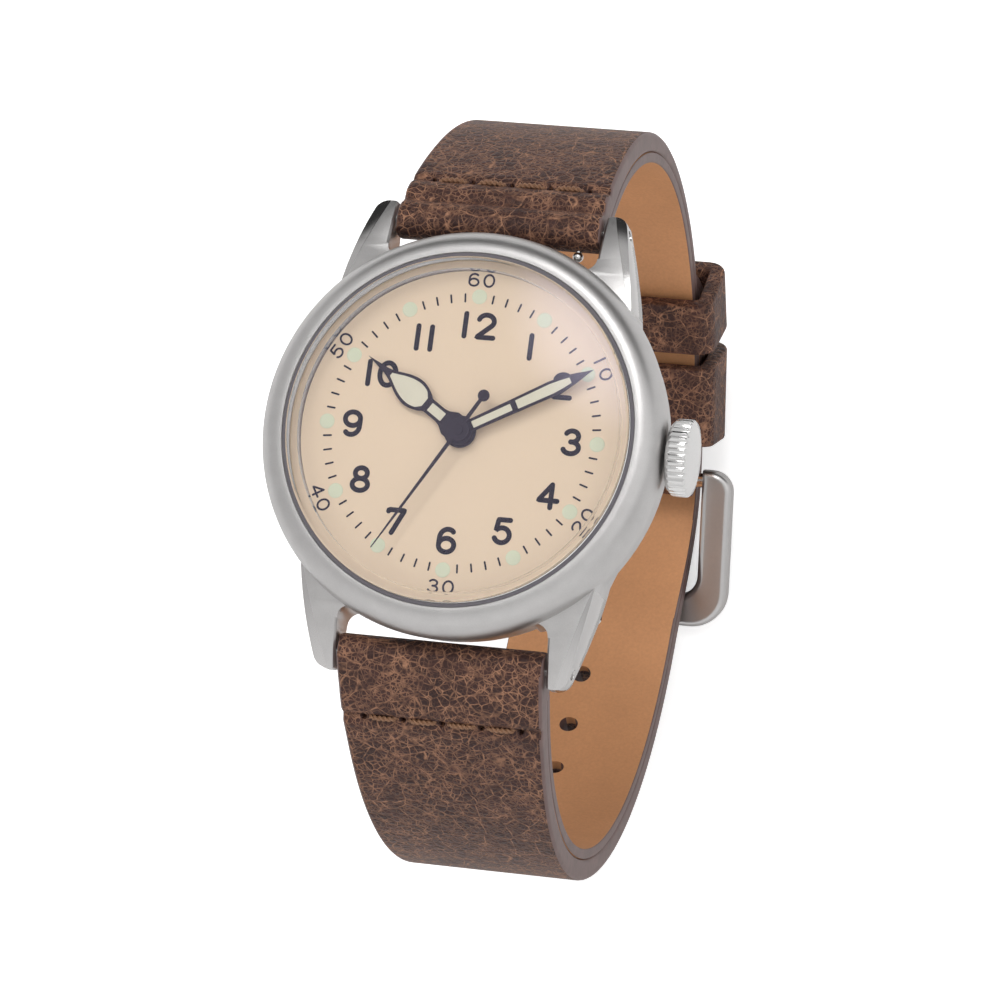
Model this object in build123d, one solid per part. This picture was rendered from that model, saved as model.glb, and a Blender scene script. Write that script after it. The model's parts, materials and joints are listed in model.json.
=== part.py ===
from build123d import *
import os
from math import acos, atan2, cos, degrees, hypot, pi, radians, sin, sqrt

# A hand-wound field watch on a closed leather strap, in millimetres.
# The origin is the centre of the case back's outer face. +Z points out of the dial, +Y to 12 o'clock
# and +X to the crown, so the closed strap hangs below the case.

# Gaps between pieces that fit
press_gap = 0.02
face_gap = 0.05

# Case, built outwards from the movement
movement_radius = 14.0
holder_width = 2.3
case_wall = 2.3
case_bore = movement_radius + holder_width
case_radius = case_bore + case_wall
case_wall_height = 3.2
case_foot_step = 1.1
case_foot_radius = case_radius - case_foot_step
dial_top = 7.6
dial_thickness = 0.4
dial_gap = 0.1
dial_radius = case_bore - dial_gap
bezel_seat = 6.35
neck_wall = 1.3
neck_radius = case_bore + neck_wall
bezel_overhang = 0.4
bezel_radius = case_radius + bezel_overhang
bezel_height = 3.45
bezel_skirt = 0.5
bezel_step = 0.2
bezel_bore = case_bore + bezel_step
bezel_rim = 0.25
bezel_top_radius = bezel_bore + bezel_rim
bezel_lip = 0.55
bezel_lip_bore = bezel_bore - bezel_lip
bezel_lip_height = 0.35

# Case back
back_flange_step = 0.6
back_flange_radius = case_foot_radius - back_flange_step
back_flange_height = 0.9
back_edge = 0.35
back_plate = 1.2
back_thread_radius = case_bore - face_gap
back_thread_top = 2.0
back_wall = 1.1
back_gasket_radius = (back_thread_radius + back_flange_radius) / 2
back_gasket_wire = 0.22
back_notch_width = 2.4
back_notch_depth = 0.5
back_notch_length = 1.6
back_notches = 6

# Crystal and its gasket
crystal_gasket_width = 0.38
crystal_radius = bezel_bore - crystal_gasket_width
crystal_wall = 1.1
crystal_side = 2.35
crystal_crown = 1.05
crystal_edge = 0.35

# Lugs, and the spring bars between them
lug_gap = 20.0
strap_end_radius = 1.85
strap_gap = 0.15
bar_y = case_radius + strap_end_radius + strap_gap
bar_z = 3.4
lug_tip_width = 1.8
lug_tip_outer = lug_gap / 2 + lug_tip_width
lug_root_width = 4.1
lug_root_outer = lug_gap / 2 + lug_root_width
lug_root_sink = 0.25
lug_root_y = sqrt(case_radius ** 2 - lug_root_outer ** 2) - lug_root_sink
lug_flat = 0.6
lug_tip_reach = 1.6
lug_tip_y = bar_y + lug_tip_reach
lug_tip_top = 3.9
lug_tip_bottom = 2.5
lug_tip_round = 1.3
lug_tip_inner_round = 0.4
lug_root_round = 1.2
lug_swell = 0.2
lug_bevel = 0.22
lug_hole_radius = 0.5

# Crown, tube and stem
stem_z = 5.05
stem_radius = 0.45
stem_inner_x = 7.2
stem_square_radius = 0.4
crown_gap = 0.15
crown_start = bezel_radius + crown_gap
crown_length = 2.0
crown_dome = 0.45
crown_radius = 3.55
crown_teeth = 36
crown_tooth_depth = 0.22
crown_recess_radius = 1.35
crown_recess_depth = 1.35
tube_radius = 0.95
tube_bore = 0.52
tube_inner_x = case_bore + dial_gap
tube_reach = 1.15
tube_outer_x = crown_start + tube_reach
crown_gasket_wire = 0.16
crown_travel = 0.8

# Movement plate and bridges
plate_bottom = 4.3
plate_top = 6.7
plate_rim = 1.1
plate_rim_bore = movement_radius - plate_rim
works_floor = 6.1
works_radius = 7.3
bridge_bottom = 1.75
bridge_top = 2.45
bridge_inset = 0.4
bridge_radius = movement_radius - bridge_inset
bridge_foot_width = 1.15
bridge_foot_bore = bridge_radius - bridge_foot_width
holder_bottom = 2.3
bearing_radius = 0.5
pivot_radius = 0.12
pivot_gap = 0.04
pivot_reach = 0.35

# Going train
barrel_module = 0.15
barrel_teeth = 72
centre_pinion_leaves = 12
centre_module = 0.115
centre_teeth = 72
third_pinion_leaves = 9
third_teeth = 75
fourth_pinion_leaves = 10
fourth_module = 0.105
fourth_teeth = 80
escape_pinion_leaves = 8
escape_teeth = 15
escape_radius = 2.0
wheel_thickness = 0.15
barrel_angle = 60
third_angle = -75
escape_angle = 220
barrel_floor_z = 3.55
barrel_height = 1.35
barrel_wall = 0.22
barrel_ring_z = 4.0
barrel_ring_height = 0.2
barrel_cover_thickness = 0.18
barrel_recess_gap = 0.2
arbor_radius = 0.5
arbor_hub_radius = 1.2
centre_wheel_z = 3.3
centre_pinion_z = 3.9
centre_arbor_radius = 0.45
centre_arbor_bore = 0.24
third_wheel_z = 2.95
fourth_wheel_z = 2.6
second_arbor_radius = 0.18
escape_wheel_z = 3.95
pinion_arbor_radius = 0.12
mainspring_thickness = 0.11
mainspring_turns = 7
hairspring_thickness = 0.05
hairspring_height = 0.14
hairspring_turns = 6

# Escapement and balance
pallet_from_escape = 2.5
balance_from_pallet = 3.2
balance_radius = 3.3
balance_rim = 0.42
balance_z = 3.15
balance_height = 0.34
balance_arm = 0.55
staff_radius = 0.16
collet_radius = 0.32
roller_radius = 0.75
roller_z = 3.62
roller_height = 0.18
impulse_radius = 0.55
impulse_pin = 0.1
impulse_height = 0.3
fork_gap = 0.08
fork_width = 0.32
fork_thickness = 0.14
pallet_arm = 1.35
stone_width = 0.22
stone_gap = 0.3
pallet_bridge_z = 3.65
pallet_bridge_thickness = 0.16
pallet_foot = 2.2
pallet_foot_radius = 0.45
cock_width = 1.3
cock_inset = 0.1
cock_foot_x = cock_width + cock_inset - bridge_radius

# Winding and setting works
winding_module = 0.15035
crown_wheel_teeth = 36
ratchet_teeth = 56
face_teeth = 18
face_tooth_width = 0.28
face_tooth_length = 0.7
face_tooth_top = 3.55
crown_wheel_x = 7.4
winding_wheel_z = 2.85
winding_wheel_thickness = 0.3
winding_pinion_radius = 1.6
winding_pinion_leaves = 12
winding_pinion_x = 9.4
winding_pinion_length = 0.95
clutch_x = 7.55
clutch_length = 1.3
clutch_radius = 1.1
clutch_neck = 0.72
clutch_groove = 0.5
works_module = 0.16
minute_pinion_module = 0.1536
cannon_leaves = 12
minute_wheel_teeth = 36
minute_pinion_leaves = 10
hour_wheel_teeth = 40
minute_wheel_angle = -50
setting_wheel_teeth = 14
setting_wheel_angle = 21
works_gap = 0.1
works_thickness = 0.2
cannon_pipe = 0.65
hour_pipe_bore = 0.7
hour_pipe = 0.95
dial_hole = 1.05
lever_pivot_x = 11.2
lever_pivot_y = -2.9
lever_post_radius = 0.2
lever_post_y = -0.5
lever_width = 0.7
lever_thickness = 0.22
lever_groove_radius = 0.25
lever_groove_width = 0.56
yoke_pivot_x = 8.2
yoke_pivot_y = -4.2
yoke_finger_radius = 0.12
yoke_finger_y = -0.95
works_pin_radius = 0.3
spring_plate_thickness = 0.15
click_angle = 150
click_length = 1.7
click_width = 0.5
click_gap = 0.06
click_spring_width = 0.14

# Screws
screw_radius = 0.4
screw_head_radius = 0.75
screw_head_height = 0.22
screw_slot = 0.14

# Hands
hour_hand_z = 8.0
minute_hand_z = 8.4
second_hand_z = 8.78
hand_thickness = 0.16
hour_hand_length = 11.5
minute_hand_length = 13.5
second_hand_length = 13.3
second_tail_length = 3.9
second_ball_radius = 0.55
hour_hub = 1.5
minute_hub = 1.3
second_hub = 1.05
second_cap_height = 0.3
hour_hand_angle = 303.5
minute_hand_angle = 60.4
second_hand_angle = 210.1
hour_leaf_half = 1.41
hour_border = 0.29
minute_leaf_half = 0.74
minute_border = 0.26
second_needle_half = 0.11
lume_sink = 0.03

# Strap loop: an ellipse seen from the crown side
loop_half_depth = 34.9
loop_centre_z = -23.2
strap_side_gap = 0.25
strap_lug_half = lug_gap / 2 - strap_side_gap
strap_taper = 1.3
strap_taper_power = 3
strap_width_steps = 12
strap_back_half = strap_lug_half - strap_taper
strap_body_thickness = 3.1
strap_short_end_thickness = 2.2
strap_long_end_thickness = 2.4
strap_taper_length = 12.0
lining_thickness = 1.0
lining_start = 3.2
fold_radius = 1.75
tip_share = 0.86
tip_y = loop_half_depth * tip_share
tip_length = 5.0
strap_bar_gap = 0.1
climb_start_y = -8.0
climb_top_y = 7.4
climb_end_y = 14.0
strap_hole_radius = 0.95
strap_hole_pitch = 6.5
strap_holes = 5
stitches = 4
short_stitch_path = 4.1
long_stitch_path = 5.5
stitch_margin_share = 1.2
stitch_pitch = 2 * strap_lug_half / (stitches + stitch_margin_share)
stitch_length_share = 0.76
stitch_length = stitch_pitch * stitch_length_share
stitch_radius = 0.27

# Spring bars
bar_tube_radius = 0.75
bar_tube_bore = 0.5
bar_end_gap = 0.8
bar_tube_half = lug_gap / 2 - bar_end_gap
bar_pin_radius = 0.46
bar_pin_reach = 1.3
knob_radius = 0.5
knob_inset = 1.6
knob_x = bar_tube_half - knob_inset
knob_length = 2.85
knob_neck = 0.28
lower_knob_turn = 50
bar_pin_hold = 2.0
bar_pin_inner = knob_x - bar_pin_hold
release_travel = 1.4
bar_spring_wire = 0.2
bar_spring_turns = 9
bar_spring_sides = 8

# Buckle
buckle_hinge_y = 9.0
buckle_far_y = -3.5
buckle_side_gap = 1.05
buckle_inner_half = strap_back_half + buckle_side_gap
buckle_bar_width = 3.2
buckle_bar_height = 2.2
buckle_corner = 3.8
buckle_hinge_corner = 2.2
buckle_inner_corner = 2.2
buckle_edge = 0.7
buckle_notch_depth = 1.4
buckle_far_offset = 3.95
buckle_pin_end = 2.0
buckle_pin_radius = 0.75
tongue_width = 1.8
tongue_thickness = 0.9
tongue_wrap = 0.8
tongue_overhang = 0.7
tongue_slot_length = 3.8
tongue_gap = 0.08
tongue_rest_gap = 0.4
tongue_lean = 2.0

# Keepers
keeper_wall = 1.6
keeper_clearance = 0.3
keeper_side_gap = 0.6
keeper_corner = 1.5
fixed_keeper_reach = 7.75
fixed_keeper_y = buckle_hinge_y + fixed_keeper_reach
fixed_keeper_width = 8.8
sliding_keeper_share = 0.699
sliding_keeper_y = loop_half_depth * sliding_keeper_share
sliding_keeper_width = 6.2

# One overrun serves every cut
cut_over = 1.0

LOW = (Align.CENTER, Align.CENTER, Align.MIN)


# Plain solids

def disc(radius, bottom, top, x=0, y=0):
    return Pos(x, y, bottom) * Cylinder(radius, top - bottom, align=LOW)


def ring(outer, inner, bottom, top, x=0, y=0):
    return disc(outer, bottom, top, x, y) - disc(inner, bottom - cut_over, top + cut_over, x, y)


def rod_x(radius, start, end, y=0, z=0):
    """A round bar along X."""
    return Pos(start, y, z) * Rot(0, 90, 0) * Cylinder(radius, end - start, align=LOW)


def slab(low, high):
    """A block between two opposite corners."""
    size = [high[i] - low[i] for i in range(3)]
    middle = [(high[i] + low[i]) / 2 for i in range(3)]
    return Pos(*middle) * Box(*size)


def outline(points, bottom, top):
    """A closed outline of straight edges in plan, drawn up between two heights."""
    face = make_face(Polyline(*points, close=True))
    return Pos(0, 0, bottom) * extrude(face, top - bottom)


def link(start, end, half_width, bottom, top):
    """A bar with round ends between two points in plan."""
    run = (end[0] - start[0], end[1] - start[1])
    length = hypot(*run)
    angle = degrees(atan2(run[1], run[0]))
    middle = ((start[0] + end[0]) / 2, (start[1] + end[1]) / 2)
    body = Pos(middle[0], middle[1], bottom) * Rot(0, 0, angle) * Box(
        length, 2 * half_width, top - bottom, align=LOW)
    return body + disc(half_width, bottom, top, *start) + disc(half_width, bottom, top, *end)


def polar(radius, angle):
    return (radius * cos(radians(angle)), radius * sin(radians(angle)))


def plus(first, second):
    return (first[0] + second[0], first[1] + second[1])


def heading(start, end):
    return degrees(atan2(end[1] - start[1], end[0] - start[0]))


def revolved(points):
    """A turned piece from an outline of radius and height."""
    face = make_face(Polyline(*[(r, z) for r, z in points], close=True))
    return revolve(Plane.XZ * face, Axis.Z)


# Gears

def gear_face(teeth, module, phase):
    """A toothed outline. Shares set the tooth's height and width against its module and pitch."""
    tip_share, root_share = 0.85, 1.1
    tip_width_share, root_width_share = 0.11, 0.27
    pitch = 360 / teeth
    radius = teeth * module / 2
    points = []
    for tooth in range(teeth):
        middle = phase + tooth * pitch
        points.append(polar(radius - root_share * module, middle - root_width_share * pitch))
        points.append(polar(radius + tip_share * module, middle - tip_width_share * pitch))
        points.append(polar(radius + tip_share * module, middle + tip_width_share * pitch))
        points.append(polar(radius - root_share * module, middle + root_width_share * pitch))
    return make_face(Polyline(*points, close=True))


def gear(teeth, module, bottom, top, at=(0, 0), phase=0, bore=0):
    body = Pos(at[0], at[1], bottom) * extrude(gear_face(teeth, module, phase), top - bottom)
    if bore:
        body -= disc(bore, bottom - cut_over, top + cut_over, *at)
    return body


def wheel(teeth, module, bottom, top, at, phase, bore, spokes=5):
    """A train wheel: a toothed rim on thin spokes."""
    rim_share, hub_share, spoke_share = 0.84, 0.2, 0.045
    radius = teeth * module / 2
    body = gear(teeth, module, bottom, top, at, phase)
    body -= ring(radius * rim_share, radius * hub_share, bottom - cut_over, top + cut_over, *at)
    for spoke in range(spokes):
        end = plus(at, polar(radius * (1 + rim_share) / 2, spoke * 360 / spokes))
        body += link(at, end, radius * spoke_share, bottom, top)
    return body - disc(bore, bottom - cut_over, top + cut_over, *at)


def meshed(teeth_a, phase_a, teeth_b, direction):
    """The phase that puts gear b in mesh with gear a, which lies back along the direction."""
    share = ((direction - phase_a) * teeth_a / 360) % 1
    return direction + 180 + (share + 0.5) * 360 / teeth_b


# Where the arbors stand

centre = (0, 0)
barrel_distance = (barrel_teeth + centre_pinion_leaves) * barrel_module / 2
barrel_at = polar(barrel_distance, barrel_angle)
third_distance = (centre_teeth + third_pinion_leaves) * centre_module / 2
third_at = polar(third_distance, third_angle)
third_module = 2 * third_distance / (third_teeth + fourth_pinion_leaves)
escape_distance = (fourth_teeth + escape_pinion_leaves) * fourth_module / 2
escape_at = polar(escape_distance, escape_angle)
pallet_at = plus(escape_at, polar(pallet_from_escape, escape_angle))
balance_at = plus(pallet_at, polar(balance_from_pallet, escape_angle))
minute_distance = (cannon_leaves + minute_wheel_teeth) * works_module / 2
minute_at = polar(minute_distance, minute_wheel_angle)
setting_distance = (minute_wheel_teeth + setting_wheel_teeth) * works_module / 2
setting_at = plus(minute_at, polar(setting_distance, setting_wheel_angle))
crown_wheel_at = (crown_wheel_x, 0)
crown_wheel_radius = crown_wheel_teeth * winding_module / 2
ratchet_radius = ratchet_teeth * winding_module / 2

# Phases of the gears, so that every pair is in mesh at rest
barrel_phase = 0
centre_pinion_phase = meshed(barrel_teeth, barrel_phase, centre_pinion_leaves, heading(barrel_at, centre))
third_pinion_phase = meshed(centre_teeth, 0, third_pinion_leaves, third_angle)
fourth_pinion_phase = meshed(third_teeth, 0, fourth_pinion_leaves, heading(third_at, centre))
escape_pinion_phase = meshed(fourth_teeth, 0, escape_pinion_leaves, escape_angle)
minute_wheel_phase = meshed(cannon_leaves, 0, minute_wheel_teeth, minute_wheel_angle)
hour_wheel_phase = meshed(minute_pinion_leaves, 0, hour_wheel_teeth, heading(minute_at, centre))
setting_phase = meshed(minute_wheel_teeth, minute_wheel_phase, setting_wheel_teeth,
                       heading(minute_at, setting_at))
ratchet_phase = meshed(crown_wheel_teeth, 0, ratchet_teeth, heading(crown_wheel_at, barrel_at))


# Case

def mid_case():
    wall_foot = bezel_seat - case_wall_height
    neck_top = dial_top + face_gap
    body = revolved([
        (case_bore, back_flange_height), (case_foot_radius, back_flange_height),
        (case_radius, wall_foot), (case_radius, bezel_seat),
        (neck_radius, bezel_seat), (neck_radius, neck_top), (case_bore, neck_top)])
    for side in (1, -1):
        for end in (1, -1):
            body += lug(side, end)
    body -= disc(case_bore, back_flange_height - cut_over, neck_top + cut_over)
    body -= rod_x(tube_radius, tube_inner_x - cut_over, case_radius + cut_over, z=stem_z)
    return body


def lug(side, end):
    """One horn: its outline in plan, cut to its outline from the side, with a bevel on top."""
    plan = extrude(lug_plan(), dial_top)
    side_body = extrude(Plane.YZ * lug_profile(), lug_root_outer + cut_over)
    horn = plan & side_body
    horn = chamfer(inner_top_edge(horn), lug_bevel)
    horn = fillet(tip_edge(horn, lug_gap / 2), lug_tip_inner_round)
    horn = fillet(tip_edge(horn, lug_tip_outer), lug_tip_round)
    horn += root_web() & side_body
    horn -= rod_x(lug_hole_radius, lug_gap / 2 - cut_over, lug_root_outer + cut_over, bar_y, bar_z)
    if side < 0:
        horn = mirror(horn, Plane.YZ)
    if end < 0:
        horn = mirror(horn, Plane.XZ)
    return horn


def lug_plan():
    """The horn seen from above. Its outer side swells a little between root and tip."""
    inner = lug_gap / 2
    tip, root = (lug_tip_outer, lug_tip_y), (lug_root_outer, lug_root_y)
    middle = ((tip[0] + root[0]) / 2 + lug_swell, (tip[1] + root[1]) / 2)
    edges = Polyline((case_bore, lug_root_y / 2), (inner, lug_root_y / 2), (inner, lug_tip_y), tip)
    edges += ThreePointArc(tip, middle, root)
    return make_face(edges + Line(root, (case_bore, lug_root_y / 2)))


def lug_profile():
    """The horn seen from the side: its top leaves the bezel's seat level and bends down to the tip."""
    foot, flat = lug_root_y / 2, lug_root_y + lug_flat
    top = TangentArc((flat, bezel_seat), (lug_tip_y, lug_tip_top), tangent=(1, 0))
    edges = Line((foot, bezel_seat), (flat, bezel_seat)) + top
    edges += Polyline((lug_tip_y, lug_tip_top), (lug_tip_y, lug_tip_bottom),
                      (lug_root_outer, back_flange_height), (foot, back_flange_height), (foot, bezel_seat))
    return make_face(edges)


def inner_top_edge(horn):
    """The edge between the horn's bent top and the side that faces the strap."""
    top = [f for f in horn.faces() if f.normal_at().Z > 0.5 and f.center().Y > lug_root_y + lug_flat]
    return [e for f in top for e in f.edges() if abs(e.center().X - lug_gap / 2) < face_gap]


def tip_edge(horn, x):
    """The longest upright edge at the horn's tip, at one of its two sides."""
    upright = [e for e in horn.edges() if abs(e.center().X - x) < lug_tip_inner_round
               and e.center().Y > lug_tip_y - lug_tip_inner_round and abs(e.tangent_at(0.5).Z) > 0.5]
    return max(upright, key=lambda e: e.length)


def root_web():
    """The hollow round that leads the horn's inner side into the case wall."""
    reach, x = case_radius + lug_root_round, lug_gap / 2 - lug_root_round
    middle = Vector(x, sqrt(reach ** 2 - x ** 2))
    away = middle.normalized()
    wall = away * case_radius
    inside = middle + (Vector(1, 0) - away).normalized() * lug_root_round
    side = middle + Vector(lug_root_round, 0)
    horn_x = side.X + cut_over
    edges = ThreePointArc(wall, inside, side)
    edges += Polyline(side, (horn_x, side.Y), (horn_x, lug_root_y), (wall.X, lug_root_y), wall)
    return extrude(make_face(edges), dial_top)


def bezel():
    """The pressed bezel: a convex ring with a lip that carries the crystal over the dial."""
    top = bezel_seat + face_gap + bezel_height
    bottom = bezel_seat + face_gap
    lip_bottom = dial_top + face_gap
    lip_top = lip_bottom + bezel_lip_height
    skirt_top = bottom + bezel_skirt
    inner = Polyline(
        (bezel_top_radius, top), (bezel_bore, top), (bezel_bore, lip_top), (bezel_lip_bore, lip_top),
        (bezel_lip_bore, lip_bottom), (neck_radius + press_gap, lip_bottom),
        (neck_radius + press_gap, bottom), (bezel_radius, bottom), (bezel_radius, skirt_top))
    crown_line = EllipticalCenterArc(
        (bezel_top_radius, skirt_top), bezel_radius - bezel_top_radius, top - skirt_top,
        start_angle=0, arc_size=90)
    return revolve(Plane.XZ * make_face(inner + crown_line), Axis.Z)


def crystal():
    """A boxed domed crystal of even thickness, hollow below."""
    base = dial_top + face_gap + bezel_lip_height
    shoulder = base + crystal_side
    inner_radius = crystal_radius - crystal_wall
    inner_shoulder = shoulder - crystal_wall
    outer = Polyline((0, base), (crystal_radius, base), (crystal_radius, shoulder - crystal_edge),
                     (crystal_radius - crystal_edge, shoulder))
    dome = dome_arc(crystal_radius - crystal_edge, shoulder, crystal_crown)
    axis_line = Line((0, shoulder + crystal_crown), (0, base))
    body = revolve(Plane.XZ * make_face(outer + dome + axis_line), Axis.Z)
    well = Polyline((0, base - cut_over), (inner_radius, base - cut_over), (inner_radius, inner_shoulder))
    well_dome = dome_arc(inner_radius, inner_shoulder, crystal_crown)
    well_axis = Line((0, inner_shoulder + crystal_crown), (0, base - cut_over))
    return body - revolve(Plane.XZ * make_face(well + well_dome + well_axis), Axis.Z)


def dome_arc(radius, height, crown):
    """Half the outline of a shallow dome, from its edge to its middle. Its centre is on the axis."""
    ball = (radius ** 2 + crown ** 2) / (2 * crown)
    reach = degrees(atan2(radius, ball - crown))
    return CenterArc((0, height + crown - ball), ball, 90 - reach, reach)


def crystal_gasket():
    base = dial_top + face_gap + bezel_lip_height
    return ring(bezel_bore - press_gap, crystal_radius + press_gap, base, base + crystal_side * 0.75)


def case_back():
    """The screwed back: a flat face with wrench notches, and a threaded wall inside."""
    body = revolved([
        (0, 0), (back_flange_radius - back_edge, 0), (back_flange_radius, back_edge),
        (back_flange_radius, back_flange_height), (back_thread_radius, back_flange_height),
        (back_thread_radius, back_thread_top), (back_thread_radius - back_wall, back_thread_top),
        (back_thread_radius - back_wall, back_plate), (0, back_plate)])
    seat_top = back_flange_height
    groove = ring(back_gasket_radius + back_gasket_wire, back_gasket_radius - back_gasket_wire,
                  seat_top - 2 * back_gasket_wire, seat_top + cut_over)
    body -= groove
    for notch in range(back_notches):
        block = slab((back_flange_radius - back_notch_length, -back_notch_width / 2, -cut_over),
                     (back_flange_radius + cut_over, back_notch_width / 2, back_notch_depth))
        body -= Rot(0, 0, (notch + 0.5) * 360 / back_notches) * block
    return body


def back_gasket():
    middle = back_flange_height - back_gasket_wire
    return Pos(0, 0, middle) * Torus(back_gasket_radius, back_gasket_wire)


def dial():
    return ring(dial_radius, dial_hole, dial_top - dial_thickness, dial_top)


def movement_holder():
    """The ring that centres the movement in the case."""
    body = ring(case_bore - face_gap, movement_radius + press_gap, holder_bottom,
                dial_top - dial_thickness)
    body -= rod_x(tube_radius + works_gap, movement_radius - cut_over, case_bore + cut_over, z=stem_z)
    return body


# Crown, tube and stem

def crown():
    """The winding crown: a coin-edge rim, a low dome and a recess over the tube."""
    end = crown_start + crown_length
    pitch = 360 / crown_teeth
    points = []
    for tooth in range(crown_teeth):
        points.append(polar(crown_radius - crown_tooth_depth, (tooth - 0.5) * pitch))
        points.append(polar(crown_radius, (tooth - 0.18) * pitch))
        points.append(polar(crown_radius, (tooth + 0.18) * pitch))
    rim = extrude(make_face(Polyline(*points, close=True)), crown_length)
    envelope = revolved([
        (0, 0), (crown_radius - 2 * crown_tooth_depth, 0), (crown_radius, 2 * crown_tooth_depth),
        (crown_radius, crown_length - crown_tooth_depth),
        (crown_radius - crown_tooth_depth, crown_length), (0, crown_length)])
    dome_radius = crown_radius - crown_tooth_depth
    dome_line = Line((0, crown_length), (dome_radius, crown_length))
    dome_axis = Line((0, crown_length + crown_dome), (0, crown_length))
    dome = dome_line + dome_arc(dome_radius, crown_length, crown_dome) + dome_axis
    cap = revolve(Plane.XZ * make_face(dome), Axis.Z)
    body = (rim & envelope) + cap
    body -= disc(crown_recess_radius, -cut_over, crown_recess_depth)
    body -= disc(stem_radius, -cut_over, end - crown_start - crown_dome)
    return Pos(crown_start, 0, stem_z) * Rot(0, 90, 0) * body


def crown_tube():
    body = rod_x(tube_radius, tube_inner_x, tube_outer_x, z=stem_z)
    return body - rod_x(tube_bore, tube_inner_x - cut_over, tube_outer_x + cut_over, z=stem_z)


def crown_gasket():
    """The ring that seals the crown on its tube."""
    middle = tube_outer_x - 2 * crown_gasket_wire
    radius = (tube_radius + crown_recess_radius) / 2
    body = Pos(middle, 0, stem_z) * Rot(0, 90, 0) * Torus(radius, crown_gasket_wire)
    return body


def winding_stem():
    """The stem: a pilot, a square for the clutch, a groove for the setting lever and a thread."""
    end = crown_start + crown_length - crown_dome
    body = rod_x(stem_radius, stem_inner_x, end, z=stem_z)
    square_end = winding_pinion_x - works_gap
    square = slab((stem_inner_x, -stem_radius, stem_z - stem_radius),
                  (square_end, stem_radius, stem_z + stem_radius))
    core = slab((stem_inner_x - cut_over, -stem_square_side(), stem_z - stem_square_side()),
                (square_end + cut_over, stem_square_side(), stem_z + stem_square_side()))
    body -= square - core
    groove_start = lever_pivot_x - lever_groove_width / 2
    groove_end = lever_pivot_x + lever_groove_width / 2
    groove = rod_x(stem_radius + cut_over, groove_start, groove_end, z=stem_z)
    groove -= rod_x(lever_groove_radius, groove_start - cut_over, groove_end + cut_over, z=stem_z)
    return body - groove


def stem_square_side():
    """Half the side of the square that lies inside the stem's round."""
    return stem_square_radius / sqrt(2)


# Movement frame

def stem_pockets():
    """The room that the stem, clutch and winding pinion need in the plate."""
    top = plate_top + cut_over
    pocket_start = stem_inner_x - crown_travel
    pocket_end = winding_pinion_x + winding_pinion_length + works_gap
    half = winding_pinion_radius + 2.5 * works_gap
    room = slab((pocket_start, -half, plate_bottom - cut_over), (pocket_end, half, top))
    room += rod_x(stem_radius + pivot_gap, pocket_start, movement_radius + cut_over, z=stem_z)
    slot_start = lever_pivot_x - lever_groove_width
    slot_end = lever_pivot_x + lever_groove_width + crown_travel
    slot_half = -lever_post_y + 2 * lever_post_radius
    room += slab((slot_start, -slot_half, stem_z - stem_radius), (slot_end, stem_radius, top))
    return room


def main_plate():
    """The plate that carries everything: barrel and pinion rooms below, motion works above."""
    body = disc(movement_radius, plate_bottom, plate_top)
    body += ring(movement_radius, plate_rim_bore, plate_top, dial_top - dial_thickness)
    barrel_room = barrel_teeth * barrel_module / 2 + barrel_module + barrel_recess_gap
    body -= disc(barrel_room, plate_bottom - cut_over, barrel_floor_z + barrel_height + works_gap,
                 *barrel_at)
    body -= disc(works_radius, works_floor, plate_top + cut_over)
    body -= slab((works_radius - 2 * cut_over, yoke_pivot_y - lever_width, works_floor),
                 (plate_rim_bore - works_gap, stem_radius + works_gap, plate_top + cut_over))
    body -= stem_pockets()
    body -= disc(centre_arbor_radius + pivot_gap, plate_bottom - cut_over, plate_top + cut_over)
    body -= disc(centre_pinion_leaves * barrel_module / 2 + 2 * barrel_module,
                 plate_bottom - cut_over, plate_bottom + works_gap)
    for at in (third_at, escape_at, pallet_at, balance_at):
        body -= disc(bearing_radius, plate_bottom - cut_over, plate_bottom + 2 * pivot_reach, *at)
    body -= disc(arbor_radius + pivot_gap, plate_bottom, works_floor - works_gap, *barrel_at)
    body -= disc(works_pin_radius, plate_bottom + works_gap, plate_top + cut_over, *minute_at)
    body -= disc(works_pin_radius, plate_bottom + works_gap, plate_top + cut_over, *setting_at)
    body -= disc(works_pin_radius, stem_z - stem_radius, plate_top + cut_over,
                 yoke_pivot_x, yoke_pivot_y)
    body -= disc(works_pin_radius, stem_z - stem_radius, plate_top + cut_over,
                 lever_pivot_x, lever_pivot_y)
    for at in bridge_screw_places():
        body -= disc(screw_radius, plate_bottom - cut_over, plate_bottom + 2 * screw_radius, *at)
    return body


def bridge_screw_places():
    """Where the bridge and cock screws stand."""
    rim = (bridge_foot_bore + bridge_radius) / 2
    angles = (100, 20, 262, 322)
    return [polar(rim, angle) for angle in angles] + [(cock_foot_x, 0)]


def bridge_foot(start, end):
    """A stretch of rim that stands on the plate, between two angles."""
    reach = bridge_radius * 2
    wedge = outline([(0, 0), polar(reach, start), polar(reach, (start + end) / 2), polar(reach, end)],
                    bridge_top - cut_over, plate_bottom + cut_over)
    return ring(bridge_radius, bridge_foot_bore, bridge_top, plate_bottom) & wedge


def bridge_sector(start, end):
    """A sector of the movement's outline at bridge height."""
    reach = bridge_radius * 2
    wedge = outline([(0, 0), polar(reach, start), polar(reach, (start + end) / 2), polar(reach, end)],
                    bridge_bottom - cut_over, bridge_top + cut_over)
    return disc(bridge_radius, bridge_bottom, bridge_top) & wedge


def screw_holes(body, places):
    for at in places:
        body -= disc(screw_radius, bridge_bottom - cut_over, plate_bottom + cut_over, *at)
        body -= disc(screw_head_radius + press_gap, bridge_bottom - cut_over,
                     bridge_bottom + screw_head_height, *at)
    return body


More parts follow.
